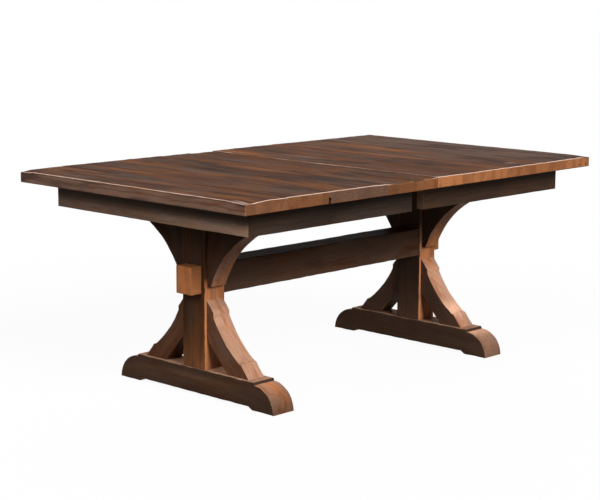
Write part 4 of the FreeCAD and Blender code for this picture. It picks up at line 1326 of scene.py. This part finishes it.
@dataclass
class Stretcher:
    """The beam between the posts, with a tenon through each of them."""

    shoulder: float = 522 * MM
    half_width: float = 52 * MM
    level: tuple[float, float] = (353 * MM, 459 * MM)
    tenon_half: float = 39 * MM
    tenon_level: tuple[float, float] = (359 * MM, 457 * MM)
    tenon_figure: float = 0.3
    seed: int = 900

    # Depth, length and width of waves
    BEAM_WAVES = (0.8 * MM, 0.4, 0.08)
    # Painted shade on the beam's top face, darker and warmer
    TOP_SHADE_TONE = (-0.8, 2.0, -2.5)

    def build(self, wood: bpy.types.Material) -> None:
        """Build the stretcher: a rectangle along X that steps down to the tenons.

        Args:
            wood: its material.
        """
        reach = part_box("stretcher")[1].x

        def path(along: Array) -> Rings:
            """Rings at distances from the left end."""
            x = along - reach
            beam = np.abs(x) <= self.shoulder
            half_y = np.where(beam, self.half_width, self.tenon_half)
            bottom = np.where(beam, self.level[0], self.tenon_level[0])
            top = np.where(beam, self.level[1], self.tenon_level[1])
            ones = np.ones_like(x)
            centre = np.stack([x, 0 * x, (top + bottom) / 2], axis=-1)
            return Rings(centre, ones[:, None] * Y_AXIS, ones[:, None] * Z_AXIS, half_y, (top - bottom) / 2)

        def on_tenon(along: Array) -> Array:
            """Where a tenon is."""
            return np.abs(along - reach) > self.shoulder

        def tint(along: Array, u: Array, v: Array) -> Array:
            """The tenons show warm new-cut wood, painted lighter on their front and back; the beam is dark,
            with painted light low on its sides and painted shade on its top face.
            """
            # The tenons' front and back faces are painted lighter than their tops and ends
            tenon_tone = tones(0.55 + 0.6 * (np.abs(u) > SIDE_LIMIT), 2.0, -2.0)
            # Painted light low on the beam's sides
            side_tone = tones(0.28 * np.clip(-v, 0, 1) - 0.6, 0.3, 1.2)
            return pick(on_tenon(along), tenon_tone, pick(v > SIDE_LIMIT, self.TOP_SHADE_TONE, side_tone))

        def figure(along: Array, u: Array, v: Array) -> Array:
            """The tenons' figure is faint."""
            return np.where(on_tenon(along), self.tenon_figure, 1.0) + 0.0 * u

        inside = np.linspace(-self.shoulder, self.shoulder, 90)
        near_end = reach - np.array([30, 20, 10, 4]) * MM
        tenon = np.concatenate([[self.shoulder + 0.1 * MM], near_end])
        stations = np.concatenate([-tenon[::-1], inside, tenon]) + reach
        faces = {face: Waves(*self.BEAM_WAVES, self.seed + face.value).at for face in Face}
        timber = Timber("stretcher_worn", 2 * reach, path, stations=stations, arrises=(3.5 * MM, 3.5 * MM),
                        end_arris=3 * MM, face_points=9, hollows=faces, side_wear=0.8 * MM,
                        pith=(0.01, 0.1), tint=tint, figure=figure, seed=self.seed)
        put(timber.build(wood), "stretcher", "base")


@dataclass
class HiddenWorks:
    """The CAD pieces that keep their own shape: slides, equaliser, latches, rails and fasteners."""

    finishes: dict[str, PlainWood | Hardware]

    def dress(self) -> None:
        """Give every shown CAD node the finish of its slot."""
        materials = {slot: finish.material() for slot, finish in self.finishes.items()}
        for entry in frame["record"]["subparts"]:
            node = frame["nodes"][entry["node"]]
            if node.hide_render:
                continue
            for place in node.material_slots:
                place.material = materials[entry["material_slot"]]
            LOG.info("%s keeps its shape, in %s", node.name, entry["material_slot"])


@dataclass(frozen=True)
class Lamp:
    """A distant soft lamp: the way to it, its strength and the angle in degrees that it fills in the sky."""

    name: str
    towards: tuple[float, float, float]
    strength: float
    softness: float
    glossy: bool = False

    def build(self) -> None:
        """Add the lamp to the scene."""
        data = bpy.data.lights.new(self.name, "SUN")
        data.energy = self.strength
        data.angle = math.radians(self.softness)
        lamp = bpy.data.objects.new(self.name, data)
        lamp.rotation_mode = "QUATERNION"
        lamp.rotation_quaternion = Vector(self.towards).to_track_quat("Z", "Y")
        lamp.visible_glossy = self.glossy
        bpy.context.scene.collection.objects.link(lamp)


@dataclass
class Studio:
    """Camera at the photograph's view, soft light and a plain floor."""

    eye: tuple[float, float, float] = (-4.27965, -4.00821, 1.44665)
    yaw: float = 0.7635
    pitch: float = -0.1714
    roll: float = 0.0049
    focal_pixels: float = 1620.53
    image_width: int = 600
    sensor: float = 36.0
    view_depth: float = 200.0
    lamps: tuple[Lamp, ...] = (Lamp("key_light", (-0.12, -0.85, 0.51), 3.3, 28.0, True),
                               Lamp("fill_light", (-0.8, -0.1, 0.55), 1.6, 36.0),
                               Lamp("rim_light", (0.62, 0.7, 0.35), 1.2, 60.0))
    surround: float = 0.1
    floor_size: float = 60.0
    floor_drop: float = 0.3 * MM
    floor_white: float = 0.9
    floor_bounce: float = 0.2
    floor_glow: float = 0.94

    def camera(self) -> None:
        """Set the camera from its yaw, pitch and roll."""
        ahead = Vector((math.cos(self.yaw) * math.cos(self.pitch), math.sin(self.yaw) * math.cos(self.pitch),
                        math.sin(self.pitch)))
        level = Vector((math.sin(self.yaw), -math.cos(self.yaw), 0.0))
        above = level.cross(ahead)
        right = math.cos(self.roll) * level + math.sin(self.roll) * above
        up = math.cos(self.roll) * above - math.sin(self.roll) * level
        turn = Matrix((right, up, -ahead)).transposed()
        data = bpy.data.cameras.new("photo_camera")
        data.sensor_fit = "HORIZONTAL"
        data.sensor_width = self.sensor
        data.lens = self.focal_pixels / self.image_width * self.sensor
        data.clip_end = self.view_depth
        camera = bpy.data.objects.new("photo_camera", data)
        camera.matrix_world = Matrix.Translation(self.eye) @ turn.to_4x4()
        bpy.context.scene.collection.objects.link(camera)
        bpy.context.scene.camera = camera

    def world(self) -> None:
        """An even surround that lights the object gently and looks white."""
        tree = Tree(bpy.data.worlds.new("surround"))
        strength = tree.seen() * (1.0 - self.surround) + self.surround
        sky = tree.add("ShaderNodeBackground", None, {"Color": neutral(1.0), "Strength": strength})
        tree.add("ShaderNodeOutputWorld", None, {"Surface": sky})
        bpy.context.scene.world = tree.owner

    def floor(self) -> None:
        """A white floor that keeps a faint shadow and bounces little light."""
        half = self.floor_size / 2
        grid = np.linspace(-half, half, 3)
        x, y = np.meshgrid(grid, grid, indexing="ij")
        points = np.stack([x, y, np.full_like(x, -self.floor_drop)], axis=-1).reshape(-1, 3)
        index = np.arange(9).reshape(3, 3)
        quads = np.stack([index[:-1, :-1], index[1:, :-1], index[1:, 1:], index[:-1, 1:]], axis=-1)
        mesh = bpy.data.meshes.new("floor")
        mesh.from_pydata(points.tolist(), [], quads.reshape(-1, 4).tolist())
        tree = Tree.material("white_floor")
        seen = tree.seen()
        colour = tree.mix(seen, neutral(self.floor_bounce), neutral(self.floor_white))
        ground = tree.add("ShaderNodeBsdfDiffuse", None, {"Color": colour})
        glow = tree.add("ShaderNodeEmission", None, {"Color": neutral(1.0), "Strength": 1.0})
        surface = tree.add("ShaderNodeMixShader", None, {0: seen * self.floor_glow, 1: ground, 2: glow})
        tree.add("ShaderNodeOutputMaterial", None, {"Surface": surface})
        mesh.materials.append(tree.owner)
        floor = bpy.data.objects.new("floor", mesh)
        bpy.context.scene.collection.objects.link(floor)

    def build(self) -> None:
        """Set up the whole studio."""
        self.camera()
        for lamp in self.lamps:
            lamp.build()
        self.world()
        self.floor()
        bpy.context.scene.view_settings.view_transform = "Standard"


LEFT_LOOKS = (
    BoardLook((-0.18, 0.1, 0.2), (-0.3, 0.3, 0.3), 0.4 * MM),
    BoardLook((-0.05, 0.2, 0.3), (-0.4, 0.0, 0.6), -2.0 * MM),
    BoardLook((-0.22, 0.0, 0.3), (0.0, -0.8, 2.0), -3.0 * MM),
    BoardLook((0.0, 0.5, 0.0), (0.05, -0.5, 1.6), -3.4 * MM),
    BoardLook((-0.12, 0.0, 0.4), (-0.3, 0.2, 0.6), -3.6 * MM),
    BoardLook((0.05, 0.5, 0.2), (-0.1, 0.2, 0.9), -3.2 * MM),
)
RIGHT_LOOKS = (
    BoardLook((0.0, 0.4, 0.0), (0.2, 0.5, -0.5), -1.6 * MM),
    BoardLook((-0.12, 0.1, 0.2), (0.1, 0.4, -0.5), -0.8 * MM),
    BoardLook((0.18, 0.4, 0.1), (0.05, 0.4, -0.5), -0.6 * MM),
    BoardLook((0.06, 0.1, 0.5), (-0.15, 0.5, -0.5), -0.5 * MM),
    BoardLook((0.1, -0.3, 1.3), (-0.1, 0.4, -0.3), -0.4 * MM),
    BoardLook((0.1, -0.5, 1.8), (0.05, 0.3, 0.0), -0.6 * MM),
)
LEFT_DIPS = (
    Patch(-0.91, -0.56, 0.045, 0.05, 5.5 * MM),
    Patch(-0.18, -0.56, 0.10, 0.25, 4.5 * MM),
    Patch(-0.915, 0.56, 0.035, 0.05, 5.0 * MM),
)
RIGHT_DIPS = (
    Patch(0.35, 0.50, 0.35, 0.25, -1.8 * MM),
    Patch(0.91, -0.56, 0.04, 0.05, 3.5 * MM),
)
LEFT_SCUFFS = (Patch(-0.905, -0.53, 0.03, 0.08, 0.6),)
RIGHT_SCUFFS = (Patch(0.52, -0.48, 0.14, 0.05, 0.36),)
LEFT_STREAKS = (
    Patch(-0.29, 0.05, 0.02, 0.20, (0.55, 3.0, -1.5)),
    Patch(-0.425, 0.08, 0.028, 0.19, (-0.5, -2.0, 0.5)),
    Patch(-0.34, -0.31, 0.02, 0.09, (-0.55, -2.5, 0.5)),
    Patch(-0.65, 0.31, 0.02, 0.14, (0.35, 2.5, -1.0)),
    Patch(-0.741, 0.30, 0.014, 0.03, (-0.6, 1.0, -1.0)),
    Patch(-0.745, 0.15, 0.026, 0.12, (0.0, -2.5, 3.0)),
    Patch(0.0, 0.1, 0.007, 0.5, (-0.6, 0.0, -0.5)),
)
RIGHT_STREAKS = (
    Patch(0.06, 0.15, 0.022, 0.12, (-0.2, -2.5, 3.0)),
    Patch(0.112, 0.18, 0.014, 0.15, (0.7, 0.5, 1.0)),
    Patch(0.035, 0.47, 0.016, 0.10, (0.9, 2.5, -0.5)),
    Patch(0.54, 0.15, 0.025, 0.15, (0.25, 2.0, -1.0)),
)


def main() -> None:
    """Build the sub-assemblies in order, then the studio."""
    logging.basicConfig(level=logging.INFO, format="%(name)s: %(message)s")
    top_wood = TOP_WOOD.material()
    apron_wood = APRON_WOOD.material()
    base_wood = BASE_WOOD.material()
    left_top = TopHalf(End.LEFT, LEFT_LOOKS, LEFT_DIPS, LEFT_SCUFFS, LEFT_STREAKS, seed=100,
                       seam_wear=0.12, notch_board=3)
    left_top.build(top_wood, apron_wood)
    right_top = TopHalf(End.RIGHT, RIGHT_LOOKS, RIGHT_DIPS, RIGHT_SCUFFS, RIGHT_STREAKS, seed=200,
                        seam_wear=0.56, apron_greyness=-1.2)
    right_top.build(top_wood, apron_wood)
    Trestle(End.LEFT, seed=300).build(base_wood)
    Trestle(End.RIGHT, seed=400, glints_and_grey=1.0).build(base_wood)
    Stretcher().build(base_wood)
    HiddenWorks({"inner_wood": INNER_WOOD, "slide_wood": SLIDE_WOOD, "nylon": NYLON, "steel": STEEL,
                 "pin_steel": STEEL}).dress()
    Studio().build()


if __name__ == "__main__":
    main()
